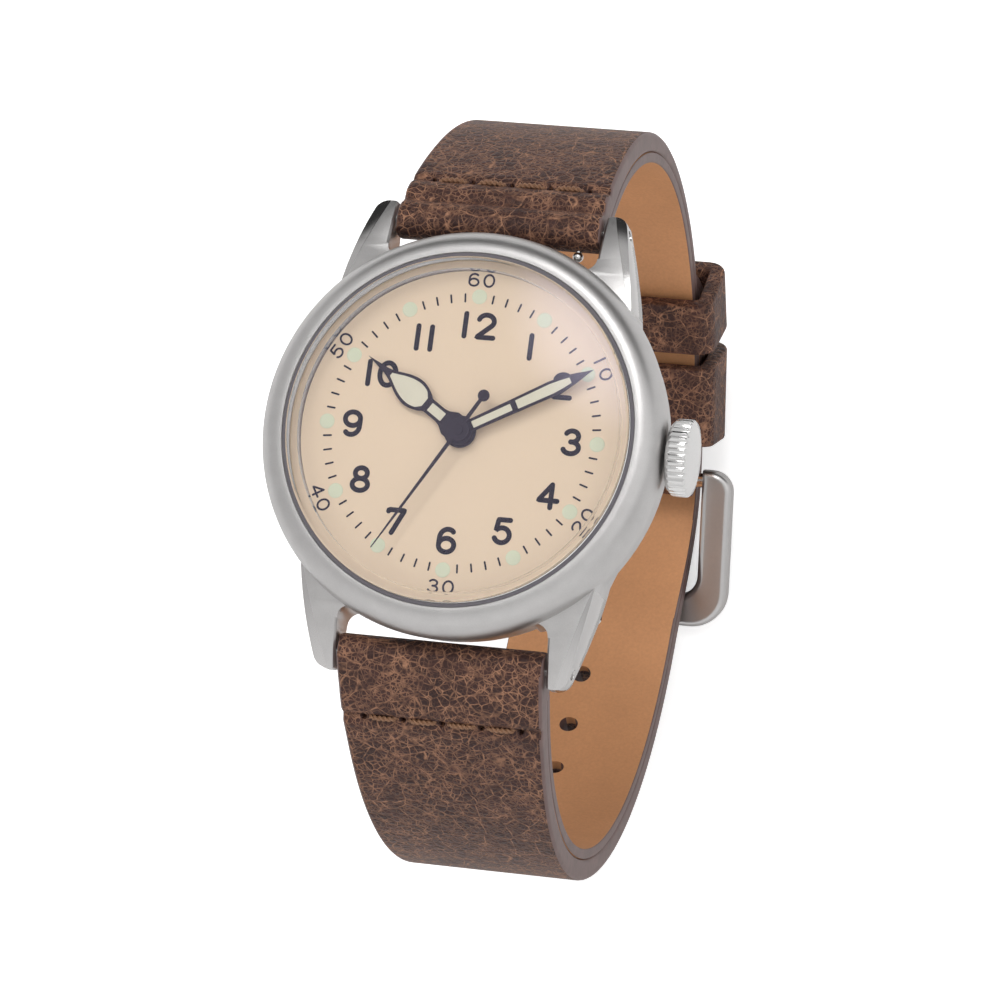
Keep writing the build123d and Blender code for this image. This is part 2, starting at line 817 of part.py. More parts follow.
def barrel_bridge():
    body = bridge_sector(-12, 142)
    body -= disc(cock_width + 3 * works_gap, bridge_bottom - cut_over, bridge_top + cut_over)
    body += bridge_foot(72, 128) + bridge_foot(8, 34)
    body -= disc(arbor_radius + pivot_gap, bridge_bottom - cut_over, bridge_top + cut_over, *barrel_at)
    body -= disc(works_pin_radius + press_gap, bridge_bottom - cut_over, bridge_top + cut_over,
                 *crown_wheel_at)
    click_at = plus(barrel_at, polar(click_distance(), click_angle))
    body -= disc(works_pin_radius + press_gap, bridge_bottom - cut_over, bridge_top + cut_over, *click_at)
    return screw_holes(body, bridge_screw_places()[:2])


def train_bridge():
    """The bridge over the going train, with a finger to the centre and one to the escape wheel."""
    body = bridge_sector(246, 344)
    body += link(centre, third_at, cock_width, bridge_bottom, bridge_top)
    body += link(third_at, escape_at, cock_width * 0.8, bridge_bottom, bridge_top)
    body += bridge_foot(254, 272) + bridge_foot(310, 334)
    for at in (centre, third_at, escape_at):
        body -= disc(bearing_radius, bridge_bottom - cut_over, bridge_top + cut_over, *at)
    return screw_holes(body, bridge_screw_places()[2:4])


def balance_cock():
    foot = (cock_foot_x, 0)
    body = link(foot, balance_at, cock_width, bridge_bottom, bridge_top)
    body += disc(cock_width, bridge_top, plate_bottom, *foot)
    body -= disc(bearing_radius, bridge_bottom - cut_over, bridge_top + cut_over, *balance_at)
    return screw_holes(body, [foot])


def pallet_feet():
    return [plus(pallet_at, polar(pallet_foot, escape_angle + turn)) for turn in (90, -90)]


def pallet_bridge():
    top = pallet_bridge_z + pallet_bridge_thickness
    first, second = pallet_feet()
    body = link(first, second, pallet_foot_radius, pallet_bridge_z, top)
    for at in (first, second):
        body += disc(pallet_foot_radius, top, plate_bottom, *at)
    return body - disc(pivot_radius + pivot_gap, pallet_bridge_z - cut_over, top + cut_over, *pallet_at)


def jewel(bore, bottom, top, at):
    return ring(bearing_radius, bore, bottom, top, *at)


def jewels():
    """The ring jewels of the plate and the bridges, each pressed in its hole."""
    bore = pivot_radius + pivot_gap
    low = [jewel(bore, bridge_bottom, bridge_top, at) for at in (third_at, escape_at, balance_at)]
    low.append(jewel(second_arbor_radius + pivot_gap, bridge_bottom, bridge_top, centre))
    high = [jewel(bore, plate_bottom, plate_bottom + 2 * pivot_reach, at)
            for at in (third_at, escape_at, pallet_at, balance_at)]
    return Compound(children=low + high)


def bridge_screws():
    """The slotted screws of the bridges and the cock."""
    screws = []
    for at in bridge_screw_places():
        body = disc(screw_head_radius, bridge_bottom, bridge_bottom + screw_head_height, *at)
        body += disc(screw_radius, bridge_bottom, plate_bottom + 2 * screw_radius, *at)
        slot = slab((at[0] - screw_head_radius, at[1] - screw_slot / 2, bridge_bottom - cut_over),
                    (at[0] + screw_head_radius, at[1] + screw_slot / 2, bridge_bottom + screw_slot))
        screws.append(body - slot)
    return Compound(children=screws)


# Going train

def ribbon(at, inner, outer, turns, thickness, bottom, top, end_angle=0):
    """A flat spiral spring between two radii, whose outer end lies at an angle."""
    step = 20
    count = int(turns * 360 / step) + 1
    edge_in, edge_out = [], []
    for index in range(count):
        share = index / (count - 1)
        radius = inner + (outer - inner) * share
        angle = end_angle - (count - 1 - index) * step
        edge_in.append(plus(at, polar(radius - thickness / 2, angle)))
        edge_out.append(plus(at, polar(radius + thickness / 2, angle)))
    return outline(edge_out + edge_in[::-1], bottom, top)


def barrel_drum():
    top = barrel_floor_z + barrel_height
    outer = barrel_teeth * barrel_module / 2 - 2 * barrel_module
    body = disc(outer, barrel_floor_z, top, *barrel_at)
    body += gear(barrel_teeth, barrel_module, barrel_ring_z, barrel_ring_z + barrel_ring_height,
                 barrel_at, barrel_phase)
    body -= disc(outer - barrel_wall, barrel_floor_z + barrel_wall, top + cut_over, *barrel_at)
    return body - disc(arbor_radius + pivot_gap, barrel_floor_z - cut_over, top, *barrel_at)


def barrel_cover():
    top = barrel_floor_z + barrel_height
    outer = barrel_teeth * barrel_module / 2 - 2 * barrel_module - barrel_wall
    return ring(outer, arbor_radius + pivot_gap, top - barrel_cover_thickness, top, *barrel_at)


def barrel_arbor():
    """The arbor that winds the spring: it runs from the bridge to the plate."""
    floor = barrel_floor_z + barrel_wall + works_gap / 2
    ceiling = barrel_floor_z + barrel_height - barrel_cover_thickness - works_gap / 2
    body = disc(arbor_radius, bridge_bottom, barrel_floor_z + barrel_height + pivot_reach, *barrel_at)
    return body + disc(arbor_hub_radius, floor, ceiling, *barrel_at)


def mainspring():
    floor = barrel_floor_z + barrel_wall + works_gap / 2
    ceiling = barrel_floor_z + barrel_height - barrel_cover_thickness - works_gap / 2
    drum = barrel_teeth * barrel_module / 2 - 2 * barrel_module - barrel_wall
    inner = arbor_hub_radius + mainspring_thickness
    outer = drum - mainspring_thickness / 2 - press_gap
    return ribbon(barrel_at, inner, outer, mainspring_turns, mainspring_thickness, floor, ceiling)


def centre_wheel():
    """The centre wheel on its hollow arbor, with the pinion that the barrel drives."""
    body = wheel(centre_teeth, centre_module, centre_wheel_z, centre_wheel_z + wheel_thickness,
                 centre, 0, centre_arbor_bore)
    body += gear(centre_pinion_leaves, barrel_module, centre_pinion_z, plate_bottom, centre,
                 centre_pinion_phase)
    body += disc(centre_arbor_radius, centre_wheel_z, minute_hand_z)
    return body - disc(centre_arbor_bore, centre_wheel_z - cut_over, minute_hand_z + cut_over)


def third_wheel():
    pinion_top = centre_wheel_z + 2 * wheel_thickness
    body = wheel(third_teeth, third_module, third_wheel_z, third_wheel_z + wheel_thickness,
                 third_at, 0, 0.5 * pivot_radius)
    body += gear(third_pinion_leaves, centre_module, third_wheel_z + wheel_thickness, pinion_top,
                 third_at, third_pinion_phase)
    return body + disc(pinion_arbor_radius, bridge_bottom + pivot_reach, plate_bottom + pivot_reach,
                       *third_at)


def fourth_wheel():
    """The seconds wheel at the centre, whose arbor runs up through the centre wheel's."""
    pinion_top = centre_wheel_z - pivot_gap
    body = wheel(fourth_teeth, fourth_module, fourth_wheel_z, fourth_wheel_z + wheel_thickness,
                 centre, 0, 0.5 * pivot_radius)
    body += gear(fourth_pinion_leaves, third_module, fourth_wheel_z + wheel_thickness, pinion_top,
                 centre, fourth_pinion_phase)
    return body + disc(second_arbor_radius, bridge_bottom + pivot_reach, second_hand_z)


def escape_wheel():
    """The escape wheel: fifteen leaning teeth on three spokes, over its pinion."""
    pitch = 360 / escape_teeth
    root_share, heel_share, back_share = 0.78, 0.97, 0.4
    points = []
    for tooth in range(escape_teeth):
        at = tooth * pitch
        points.append(polar(escape_radius * root_share, at))
        points.append(polar(escape_radius, at + pitch * back_share * 0.5))
        points.append(polar(escape_radius * heel_share, at + pitch * back_share))
        points.append(polar(escape_radius * root_share, at + pitch * back_share * 0.9))
    top = escape_wheel_z + wheel_thickness
    body = Pos(escape_at[0], escape_at[1], escape_wheel_z) * extrude(
        make_face(Polyline(*points, close=True)), wheel_thickness)
    rim, hub = escape_radius * 0.62, escape_radius * 0.2
    body -= ring(rim, hub, escape_wheel_z - cut_over, top + cut_over, *escape_at)
    for spoke in range(3):
        end = plus(escape_at, polar(escape_radius * 0.7, spoke * 120))
        body += link(escape_at, end, escape_radius * 0.06, escape_wheel_z, top)
    body += gear(escape_pinion_leaves, fourth_module, fourth_wheel_z - works_gap,
                 fourth_wheel_z + 2 * wheel_thickness, escape_at, escape_pinion_phase)
    return body + disc(pinion_arbor_radius, bridge_bottom + pivot_reach, plate_bottom + pivot_reach,
                       *escape_at)


def pallet_fork():
    """The lever: two arms with stones at the escape wheel and a slotted fork at the roller."""
    top = escape_wheel_z + fork_thickness
    reach = balance_from_pallet - impulse_radius - impulse_pin - fork_gap
    fork_end = plus(pallet_at, polar(reach - fork_width, escape_angle))
    body = link(pallet_at, fork_end, fork_width / 2, escape_wheel_z, top)
    horn = 1.6 * impulse_pin
    for turn in (1, -1):
        shift = polar(turn * (horn + fork_width / 4), escape_angle + 90)
        start = plus(fork_end, shift)
        tip = plus(plus(pallet_at, polar(reach - fork_width / 4, escape_angle)), shift)
        body += link(start, tip, fork_width / 4, escape_wheel_z, top)
        elbow = plus(pallet_at, polar(turn * pallet_arm, escape_angle + 90))
        body += link(pallet_at, elbow, fork_width / 2, escape_wheel_z, top)
    body += link(plus(fork_end, polar(horn + fork_width / 4, escape_angle + 90)),
                 plus(fork_end, polar(-horn - fork_width / 4, escape_angle + 90)),
                 fork_width / 4, escape_wheel_z, top)
    return body + disc(pinion_arbor_radius, pallet_bridge_z - works_gap, plate_bottom + pivot_reach,
                       *pallet_at)


def pallet_stones():
    """The two jewelled faces that the escape teeth meet."""
    stones = []
    drop = sqrt((escape_radius + stone_gap) ** 2 - pallet_arm ** 2)
    along = pallet_from_escape - drop
    for turn in (1, -1):
        foot = plus(pallet_at, polar(turn * pallet_arm, escape_angle + 90))
        start = plus(foot, polar(-fork_width / 2, escape_angle))
        run = max(along - fork_width / 2, stone_width)
        middle = plus(start, polar(-run / 2, escape_angle))
        block = Pos(middle[0], middle[1], escape_wheel_z) * Rot(0, 0, escape_angle) * Box(
            run, stone_width, fork_thickness, align=LOW)
        disc_cut = disc(fork_width / 2, escape_wheel_z - cut_over, escape_wheel_z + cut_over, *foot)
        stones.append(block - disc_cut)
    return Compound(children=stones)


def balance_wheel():
    """The balance: a heavy rim on two arms, with its staff, roller and impulse pin."""
    top = balance_z + balance_height
    body = ring(balance_radius, balance_radius - balance_rim, balance_z, top, *balance_at)
    middle = balance_radius - balance_rim / 2
    for turn in (0, 90):
        ends = [plus(balance_at, polar(side * middle, turn + 25)) for side in (1, -1)]
        body += link(ends[0], ends[1], balance_arm / 2, balance_z, balance_z + balance_height / 2)
    body += disc(collet_radius, balance_z - balance_height, top, *balance_at)
    body += disc(staff_radius, balance_z - balance_height, roller_z + roller_height, *balance_at)
    return body + disc(pinion_arbor_radius, bridge_bottom + pivot_reach,
                       plate_bottom + pivot_reach, *balance_at)


def balance_roller():
    top = roller_z + roller_height
    body = ring(roller_radius, staff_radius, roller_z, top, *balance_at)
    pin_at = plus(balance_at, polar(-impulse_radius, escape_angle))
    return body + disc(impulse_pin, top, top + impulse_height, *pin_at)


def hairspring():
    """The hairspring, from its collet to its stud under the cock."""
    inner = collet_radius + pivot_gap + hairspring_thickness
    outer = balance_radius * 0.72
    top = balance_z - balance_height + hairspring_height
    bottom = top - hairspring_height
    stud_angle = heading(balance_at, (cock_foot_x, 0))
    body = ribbon(balance_at, inner, outer, hairspring_turns, hairspring_thickness, bottom, top,
                  stud_angle)
    stud_at = plus(balance_at, polar(outer, stud_angle))
    return body + disc(pivot_radius, bridge_top, top, *stud_at)


# Winding and setting works

def crown_wheel():
    """The wheel that takes the winding pinion's turn round to the ratchet wheel."""
    top = winding_wheel_z + winding_wheel_thickness
    body = gear(crown_wheel_teeth, winding_module, winding_wheel_z, top, crown_wheel_at, 0,
                works_pin_radius + pivot_gap)
    middle = crown_wheel_radius - face_tooth_length / 2 - winding_module
    for tooth in range(face_teeth):
        block = Pos(middle, 0, top) * Box(face_tooth_length, face_tooth_width,
                                          face_tooth_top - top, align=LOW)
        turn = (tooth + 0.5) * 360 / face_teeth
        body += Pos(crown_wheel_x, 0, 0) * Rot(0, 0, turn) * block
    return body


def crown_wheel_pin():
    """The shouldered pin that carries the crown wheel under the bridge."""
    top = winding_wheel_z + winding_wheel_thickness
    body = disc(works_pin_radius, bridge_bottom, top + works_gap, *crown_wheel_at)
    body += ring(2 * works_pin_radius, works_pin_radius / 2, top + works_gap / 2,
                 top + 2 * works_gap, *crown_wheel_at)
    return body + disc(works_pin_radius, top, top + 2 * works_gap, *crown_wheel_at)


def ratchet_wheel():
    top = winding_wheel_z + winding_wheel_thickness
    return gear(ratchet_teeth, winding_module, winding_wheel_z, top, barrel_at, ratchet_phase,
                arbor_radius)


def click_distance():
    return ratchet_radius + winding_module + click_gap + click_length


def click_pawl():
    """The pawl that keeps the ratchet wheel from running back."""
    pivot = plus(barrel_at, polar(click_distance(), click_angle))
    tip_reach = ratchet_radius + winding_module + click_gap + click_width / 2
    tip = plus(barrel_at, polar(tip_reach, click_angle - 4))
    top = winding_wheel_z + winding_wheel_thickness
    body = link(pivot, tip, click_width / 2, winding_wheel_z, top)
    body += disc(click_width, winding_wheel_z, top, *pivot)
    return body - disc(works_pin_radius + pivot_gap, winding_wheel_z - cut_over, top + cut_over, *pivot)


def click_pin():
    pivot = plus(barrel_at, polar(click_distance(), click_angle))
    return disc(works_pin_radius, bridge_bottom, winding_wheel_z + winding_wheel_thickness, *pivot)


def click_spring():
    """The flat spring that rests beside the click."""
    pivot = plus(barrel_at, polar(click_distance(), click_angle))
    start = plus(pivot, polar(2 * click_width, click_angle - 80))
    end = plus(start, polar(2 * click_length, click_angle - 130))
    return link(start, end, click_spring_width / 2, bridge_top, winding_wheel_z)


def gear_on_stem(teeth, module, start, length):
    body = extrude(gear_face(teeth, module, 0), length)
    return Pos(start, 0, stem_z) * Rot(0, 90, 0) * body


def winding_pinion():
    """The pinion that turns with the crown and drives the crown wheel's face teeth."""
    module = 2 * winding_pinion_radius / winding_pinion_leaves
    body = gear_on_stem(winding_pinion_leaves, module, winding_pinion_x, winding_pinion_length)
    hole = rod_x(stem_radius + pivot_gap, winding_pinion_x - cut_over,
                 winding_pinion_x + winding_pinion_length + cut_over, z=stem_z)
    return body - hole


def clutch():
    """The sliding pinion on the stem's square, with the groove that the yoke holds."""
    end = clutch_x + clutch_length
    body = rod_x(clutch_radius, clutch_x, end, z=stem_z)
    groove_start = (clutch_x + end - clutch_groove) / 2
    groove_end = groove_start + clutch_groove
    groove = rod_x(clutch_radius + cut_over, groove_start, groove_end, z=stem_z)
    groove -= rod_x(clutch_neck, groove_start - cut_over, groove_end + cut_over, z=stem_z)
    body -= groove
    hole = stem_square_side() + pivot_gap
    return body - slab((clutch_x - cut_over, -hole, stem_z - hole), (end + cut_over, hole, stem_z + hole))


def setting_lever():
    """The lever whose post sits in the stem's groove and follows the crown when it is pulled."""
    bottom = works_floor + works_gap / 2
    top = bottom + lever_thickness
    post = (lever_pivot_x, lever_post_y)
    body = link((lever_pivot_x, lever_pivot_y), post, lever_width / 2, bottom, top)
    body -= disc(works_pin_radius + pivot_gap, bottom - cut_over, top + cut_over,
                 lever_pivot_x, lever_pivot_y)
    body -= slab((lever_pivot_x - lever_width, lever_post_y + lever_post_radius, bottom - cut_over),
                 (lever_pivot_x + lever_width, stem_radius, top + cut_over))
    return body + disc(lever_post_radius, stem_z - lever_groove_radius, top, *post)


def yoke():
    """The yoke that slides the clutch, by a finger in its groove."""
    bottom = works_floor + works_gap / 2
    top = bottom + lever_thickness
    finger_x = clutch_x + clutch_length / 2
    body = link((yoke_pivot_x, yoke_pivot_y), (finger_x, yoke_finger_y), lever_width / 4, bottom, top)
    body += disc(lever_width / 1.5, bottom, top, yoke_pivot_x, yoke_pivot_y)
    body -= disc(works_pin_radius + pivot_gap, bottom - cut_over, top + cut_over,
                 yoke_pivot_x, yoke_pivot_y)
    return body + disc(yoke_finger_radius, stem_z + lever_groove_radius, top, finger_x, yoke_finger_y)


def works_pins():
    """The fixed pins that the minute wheel, setting wheel, yoke and setting lever turn on."""
    top = works_floor + works_gap / 2 + lever_thickness
    pins = [disc(works_pin_radius, stem_z - stem_radius, top, yoke_pivot_x, yoke_pivot_y),
            disc(works_pin_radius, stem_z - stem_radius, top, lever_pivot_x, lever_pivot_y),
            disc(works_pin_radius, plate_bottom + works_gap, plate_top, *minute_at),
            disc(works_pin_radius, plate_bottom + works_gap, works_floor + works_gap + works_thickness,
                 *setting_at)]
    return Compound(children=pins)


def lever_spring():
    """The spring plate that lies over the yoke and the setting lever."""
    bottom = works_floor + works_gap / 2 + lever_thickness + works_gap / 2
    top = bottom + spring_plate_thickness
    body = link((yoke_pivot_x, yoke_pivot_y), (lever_pivot_x, lever_pivot_y), works_pin_radius * 1.5,
                bottom, top)
    start = (lever_pivot_x, lever_pivot_y)
    end = (plate_rim_bore - 2 * lever_width, lever_post_y)
    return body + link(start, end, works_pin_radius / 2, bottom, top)


def cannon_pinion():
    """The pipe that carries the minute hand, over the centre arbor."""
    bottom = works_floor + works_gap
    body = gear(cannon_leaves, works_module, bottom, bottom + works_thickness, centre, 0,
                centre_arbor_radius)
    pipe = ring(cannon_pipe, centre_arbor_radius, bottom, minute_hand_z + hand_thickness)
    return body + pipe


def minute_wheel():
    bottom = works_floor + works_gap
    middle = bottom + works_thickness
    bore = works_pin_radius + pivot_gap
    body = wheel(minute_wheel_teeth, works_module, bottom, middle, minute_at, minute_wheel_phase, bore, 4)
    pinion = gear(minute_pinion_leaves, minute_pinion_module, middle, middle + 1.5 * works_thickness,
                  minute_at, 0, bore)
    return body + pinion


def hour_wheel():
    """The hour wheel and the pipe that carries the hour hand."""
    bottom = works_floor + works_gap + works_thickness + works_gap / 2
    body = gear(hour_wheel_teeth, minute_pinion_module, bottom, bottom + works_thickness, centre,
                hour_wheel_phase, hour_pipe_bore)
    return body + ring(hour_pipe, hour_pipe_bore, bottom, hour_hand_z + hand_thickness)


def setting_wheel():
    bottom = works_floor + works_gap
    return gear(setting_wheel_teeth, works_module, bottom, bottom + works_thickness, setting_at,
                setting_phase, works_pin_radius + pivot_gap)


# Hands

def on_dial(shape, angle):
    """Turn a shape drawn at 12 o'clock clockwise to its place on the dial."""
    return Rot(0, 0, -angle) * shape


def blade(straight, curve, point, bottom, top):
    """A shape mirrored about a hand's middle line, from places as distance out and half width.

    Its edge runs straight, then along a curve, then straight again."""
    edge = [(half, out) for out, half in curve]
    right = Polyline(*[(half, out) for out, half in straight], edge[0]) + Spline(*edge)
    right += Polyline(edge[-1], *[(half, out) for out, half in point])
    closing = Line((-straight[0][1], straight[0][0]), (straight[0][1], straight[0][0]))
    edges = right + mirror(right, Plane.YZ) + closing
    if point[-1][1]:
        edges += Line((point[-1][1], point[-1][0]), (-point[-1][1], point[-1][0]))
    return Pos(0, 0, bottom) * extrude(make_face(edges), top - bottom)


def places(shares, length, half_width, border=0):
    """Places on a hand from shares of its length and its greatest half width, less a border."""
    return [(out * length, half * half_width - border) for out, half in shares]


hour_stem_shares = ((0, 0.92), (0.11, 0.89), (0.174, 0.58), (0.217, 0.51))
hour_leaf_shares = ((0.348, 0.51), (0.4, 0.766), (0.5, 1.0), (0.639, 0.752), (0.713, 0.468), (0.835, 0.184))
hour_slot_shares = (0.184, 0.327)
hour_drop_shares = ((0.383, 0.52), (0.42, 0.84), (0.5, 1.0), (0.639, 0.752), (0.713, 0.468), (0.75, 0.33))
minute_stem_shares = ((0, 0.78), (0.1, 0.8))
minute_leaf_shares = ((0.69, 1.0), (0.763, 0.89), (0.859, 0.63), (0.933, 0.27))
minute_slot_shares = (0.1, 0.39)
minute_drop_shares = ((0.69, 1.0), (0.763, 0.89), (0.83, 0.72))
minute_drop_start_shares = (0.43, 0.92)


def hour_windows(bottom, top):
    """Where the hour hand is pierced: a slot in its stem and a drop in its leaf."""
    half = hour_stem_shares[-1][1] * hour_leaf_half - hour_border
    slot = slab((-half, hour_slot_shares[0] * hour_hand_length, bottom),
                (half, hour_slot_shares[1] * hour_hand_length, top))
    drop = places(hour_drop_shares, hour_hand_length, hour_leaf_half, hour_border)
    return [slot, blade(drop[:1], drop[1:-1], drop[-1:], bottom, top)]


def minute_windows(bottom, top):
    """Where the minute hand is pierced: a slot, and a longer one out to its point."""
    length, half, border = minute_hand_length, minute_leaf_half, minute_border
    near, far = minute_slot_shares
    slot_half = minute_stem_shares[-1][1] * half - border
    slot = slab((-slot_half, near * length, bottom), (slot_half, far * length, top))
    drop = places(minute_drop_shares, length, half, border)
    start = places((minute_drop_start_shares,), length, half, border)
    return [slot, blade(start, drop[:-1], drop[-1:], bottom, top)]


def pierced(body, windows, pipe, height, angle):
    """A hand with its windows and the hole for its pipe, turned to its place."""
    for window in windows:
        body -= window
    return on_dial(body - disc(pipe, height - cut_over, height + hand_thickness + cut_over), angle)


def hour_hand():
    top = hour_hand_z + hand_thickness
    stem = places(hour_stem_shares, hour_hand_length, hour_leaf_half)
    leaf = places(hour_leaf_shares, hour_hand_length, hour_leaf_half)
    body = blade(stem, leaf, [(hour_hand_length, 0)], hour_hand_z, top) + disc(hour_hub, hour_hand_z, top)
    windows = hour_windows(hour_hand_z - cut_over, top + cut_over)
    return pierced(body, windows, hour_pipe, hour_hand_z, hour_hand_angle)


def hour_hand_lume():
    pieces = hour_windows(hour_hand_z, hour_hand_z + hand_thickness - lume_sink)
    return Compound(children=[on_dial(piece, hour_hand_angle) for piece in pieces])


def minute_hand():
    top = minute_hand_z + hand_thickness
    stem = places(minute_stem_shares, minute_hand_length, minute_leaf_half)
    leaf = places(minute_leaf_shares, minute_hand_length, minute_leaf_half)
    body = blade(stem, leaf, [(minute_hand_length, 0)], minute_hand_z, top)
    body += disc(minute_hub, minute_hand_z, top)
    windows = minute_windows(minute_hand_z - cut_over, top + cut_over)
    return pierced(body, windows, cannon_pipe, minute_hand_z, minute_hand_angle)


def minute_hand_lume():
    pieces = minute_windows(minute_hand_z, minute_hand_z + hand_thickness - lume_sink)
    return Compound(children=[on_dial(piece, minute_hand_angle) for piece in pieces])


def seconds_hand():
    """The seconds hand: a needle, a hub with a cap, and a ball at the tail."""
    top = second_hand_z + hand_thickness
    tail_share, root_share, waist_share, point_share = 1.5, 1.7, 0.7, 0.33
    right = [(tail_share * second_needle_half, -second_tail_length), (root_share * second_needle_half, 0),
             (second_needle_half, second_hand_length * waist_share),
             (second_needle_half * point_share, second_hand_length)]
    body = outline(right + [(-half, out) for half, out in reversed(right)], second_hand_z, top)
    body += disc(second_ball_radius, second_hand_z, top, 0, -second_tail_length)
    body += disc(second_hub, second_hand_z, top)
    body += disc(second_hub * 0.45, top, second_hand_z + second_cap_height)
    return on_dial(body, second_hand_angle)


# Strap

def angle_at(y, side):
    """The loop angle at a given Y: 1 for the half of the loop at the dial, -1 for its far half."""
    return side * degrees(acos(y / loop_half_depth))


bar_angle = angle_at(bar_y, 1)
loop_half_height = (bar_z - loop_centre_z) / sin(radians(bar_angle))
degree_length = (loop_half_depth + loop_half_height) / 2 * pi / 180
hinge_angle = angle_at(buckle_hinge_y, -1)
long_start = -180 - bar_angle
tip_angle = angle_at(tip_y - tip_length, -1)
tail_offset = (strap_short_end_thickness + strap_long_end_thickness) / 2 + strap_gap
lift_offset = fold_radius + strap_gap + strap_long_end_thickness / 2
loop_bottom = loop_centre_z - loop_half_height


def loop_point(angle, offset):
    """A point on the strap's path, seen from the side, moved outwards by an offset."""
    normal = loop_normal(angle)
    y = loop_half_depth * cos(radians(angle)) + normal[0] * offset
    z = loop_centre_z + loop_half_height * sin(radians(angle)) + normal[1] * offset
    return (y, z)


def loop_normal(angle):
    across = (cos(radians(angle)) / loop_half_depth, sin(radians(angle)) / loop_half_height)
    size = hypot(*across)
    return (across[0] / size, across[1] / size)


def eased(value, start, end):
    """A smooth step from 0 to 1."""
    share = min(1, max(0, (value - start) / (end - start)))
    return share * share * (3 - 2 * share)


def short_faces(angle):
    """How far the short strap's lining and its outer side lie from the loop's path."""
    run = (bar_angle - angle) * degree_length
    whole = (bar_angle - hinge_angle) * degree_length
    thickness = 2 * strap_end_radius
    thickness += (strap_body_thickness - thickness) * eased(run, 0, strap_taper_length)
    thin_share, thin_end_share = 0.2, 0.6
    thin = eased(run, whole * thin_share, whole * thin_end_share)
    thickness += (strap_short_end_thickness - strap_body_thickness) * thin
    return (-thickness / 2, thickness / 2)


def long_faces(angle):
    """The same for the long strap, which climbs over the short strap's end at the buckle."""
    run = (angle - long_start) * degree_length
    lift_start = angle_at(climb_start_y, -1)
    lift_top = angle_at(climb_top_y, -1)
    lift_end = angle_at(climb_end_y, -1)
    thickness = 2 * strap_end_radius
    thickness += (strap_body_thickness - thickness) * eased(run, 0, strap_taper_length)
    thickness += (strap_long_end_thickness - strap_body_thickness) * eased(angle, lift_start, lift_top)
    climb = lift_offset * eased(angle, lift_start, lift_top)
    climb += (tail_offset - lift_offset) * eased(angle, lift_top, lift_end)
    return (climb - thickness / 2, climb + thickness / 2)


def side_band(faces, start, end, steps, below=0, above=0, half_width=None):
    """A band along the loop. It runs from its lining side to its outer side, each moved out or in."""
    inner, outer = [], []
    for index in range(steps + 1):
        angle = start + (end - start) * index / steps
        lining, outside = faces(angle)
        inner.append(loop_point(angle, lining - below))
        outer.append(loop_point(angle, outside + above))
    edges = Spline(*inner) + Line(inner[-1], outer[-1]) + Spline(*outer[::-1]) + Line(outer[0], inner[0])
    return extrude(Plane.YZ * make_face(edges), half_width or strap_lug_half + cut_over, both=True)


def lining_layer(faces):
    """The faces of the lining's layer, open on its inner side."""
    def layer(angle):
        lining = faces(angle)[0]
        return (lining - cut_over, lining + lining_thickness)
    return layer


def strap_width_body():
    """The strap's outline from the front: it narrows below the lugs, then less and less."""
    top = bar_z + strap_end_radius
    step = (loop_bottom - 2 * lift_offset - cut_over - top) / strap_width_steps
    heights = [top + step * index for index in range(strap_width_steps + 1)]
    right = [(half_width_at(z), z) for z in heights]
    left = [(-half_width_at(z), z) for z in reversed(heights)]
    face = make_face(Polyline(*right, *left, close=True))
    return extrude(Plane.XZ * face, loop_half_depth + 2 * strap_body_thickness, both=True)


def half_width_at(z):
    share = min(1, max(0, (z - loop_bottom) / (bar_z - loop_bottom)))
    return strap_back_half + strap_taper * share ** strap_taper_power


def across_bar(radius, y, z, half=None):
    """A bar across the strap at a point of its side view."""
    half = half or strap_lug_half + cut_over
    return rod_x(radius, -half, half, y, z)


def stitch_row(angle, offset):
    """A row of stitches across the strap, half sunk in its face."""
    y, z = loop_point(angle, offset)
    bodies = []
    for index in range(stitches):
        x = (index - (stitches - 1) / 2) * stitch_pitch
        half = stitch_length / 2 - stitch_radius
        body = rod_x(stitch_radius, x - half, x + half, y, z)
        for end in (x - half, x + half):
            body += Pos(end, y, z) * Sphere(stitch_radius)
        bodies.append(body)
    return bodies


def short_stitches():
    angle = bar_angle - short_stitch_path / degree_length
    return stitch_row(angle, short_faces(angle)[1])


def long_stitches():
    angle = long_start + long_stitch_path / degree_length
    return stitch_row(angle, long_faces(angle)[1])


def without(body, tools):
    for tool in tools:
        body -= tool
    return body


def knob_room(y, side):
    """The notch in a strap's end where the quick-release knob comes out, towards the case."""
    half = knob_radius + release_travel / 2 + 2 * works_gap
    middle = knob_x - release_travel / 2
    low_y, high_y = sorted((y, y - side * (strap_end_radius + cut_over)))
    room = slab((middle - half, low_y, bar_z - knob_radius - works_gap),
                (middle + half, high_y, bar_z + knob_radius + works_gap))
    return knob_turned(room, side)


def knob_turned(body, side):
    """The upper knob lies level; what belongs to the lower one is turned down about its bar."""
    if side > 0:
        return body
    y = side * bar_y
    return Pos(0, y, bar_z) * Rot(-lower_knob_turn, 0, 0) * Pos(0, -y, -bar_z) * body


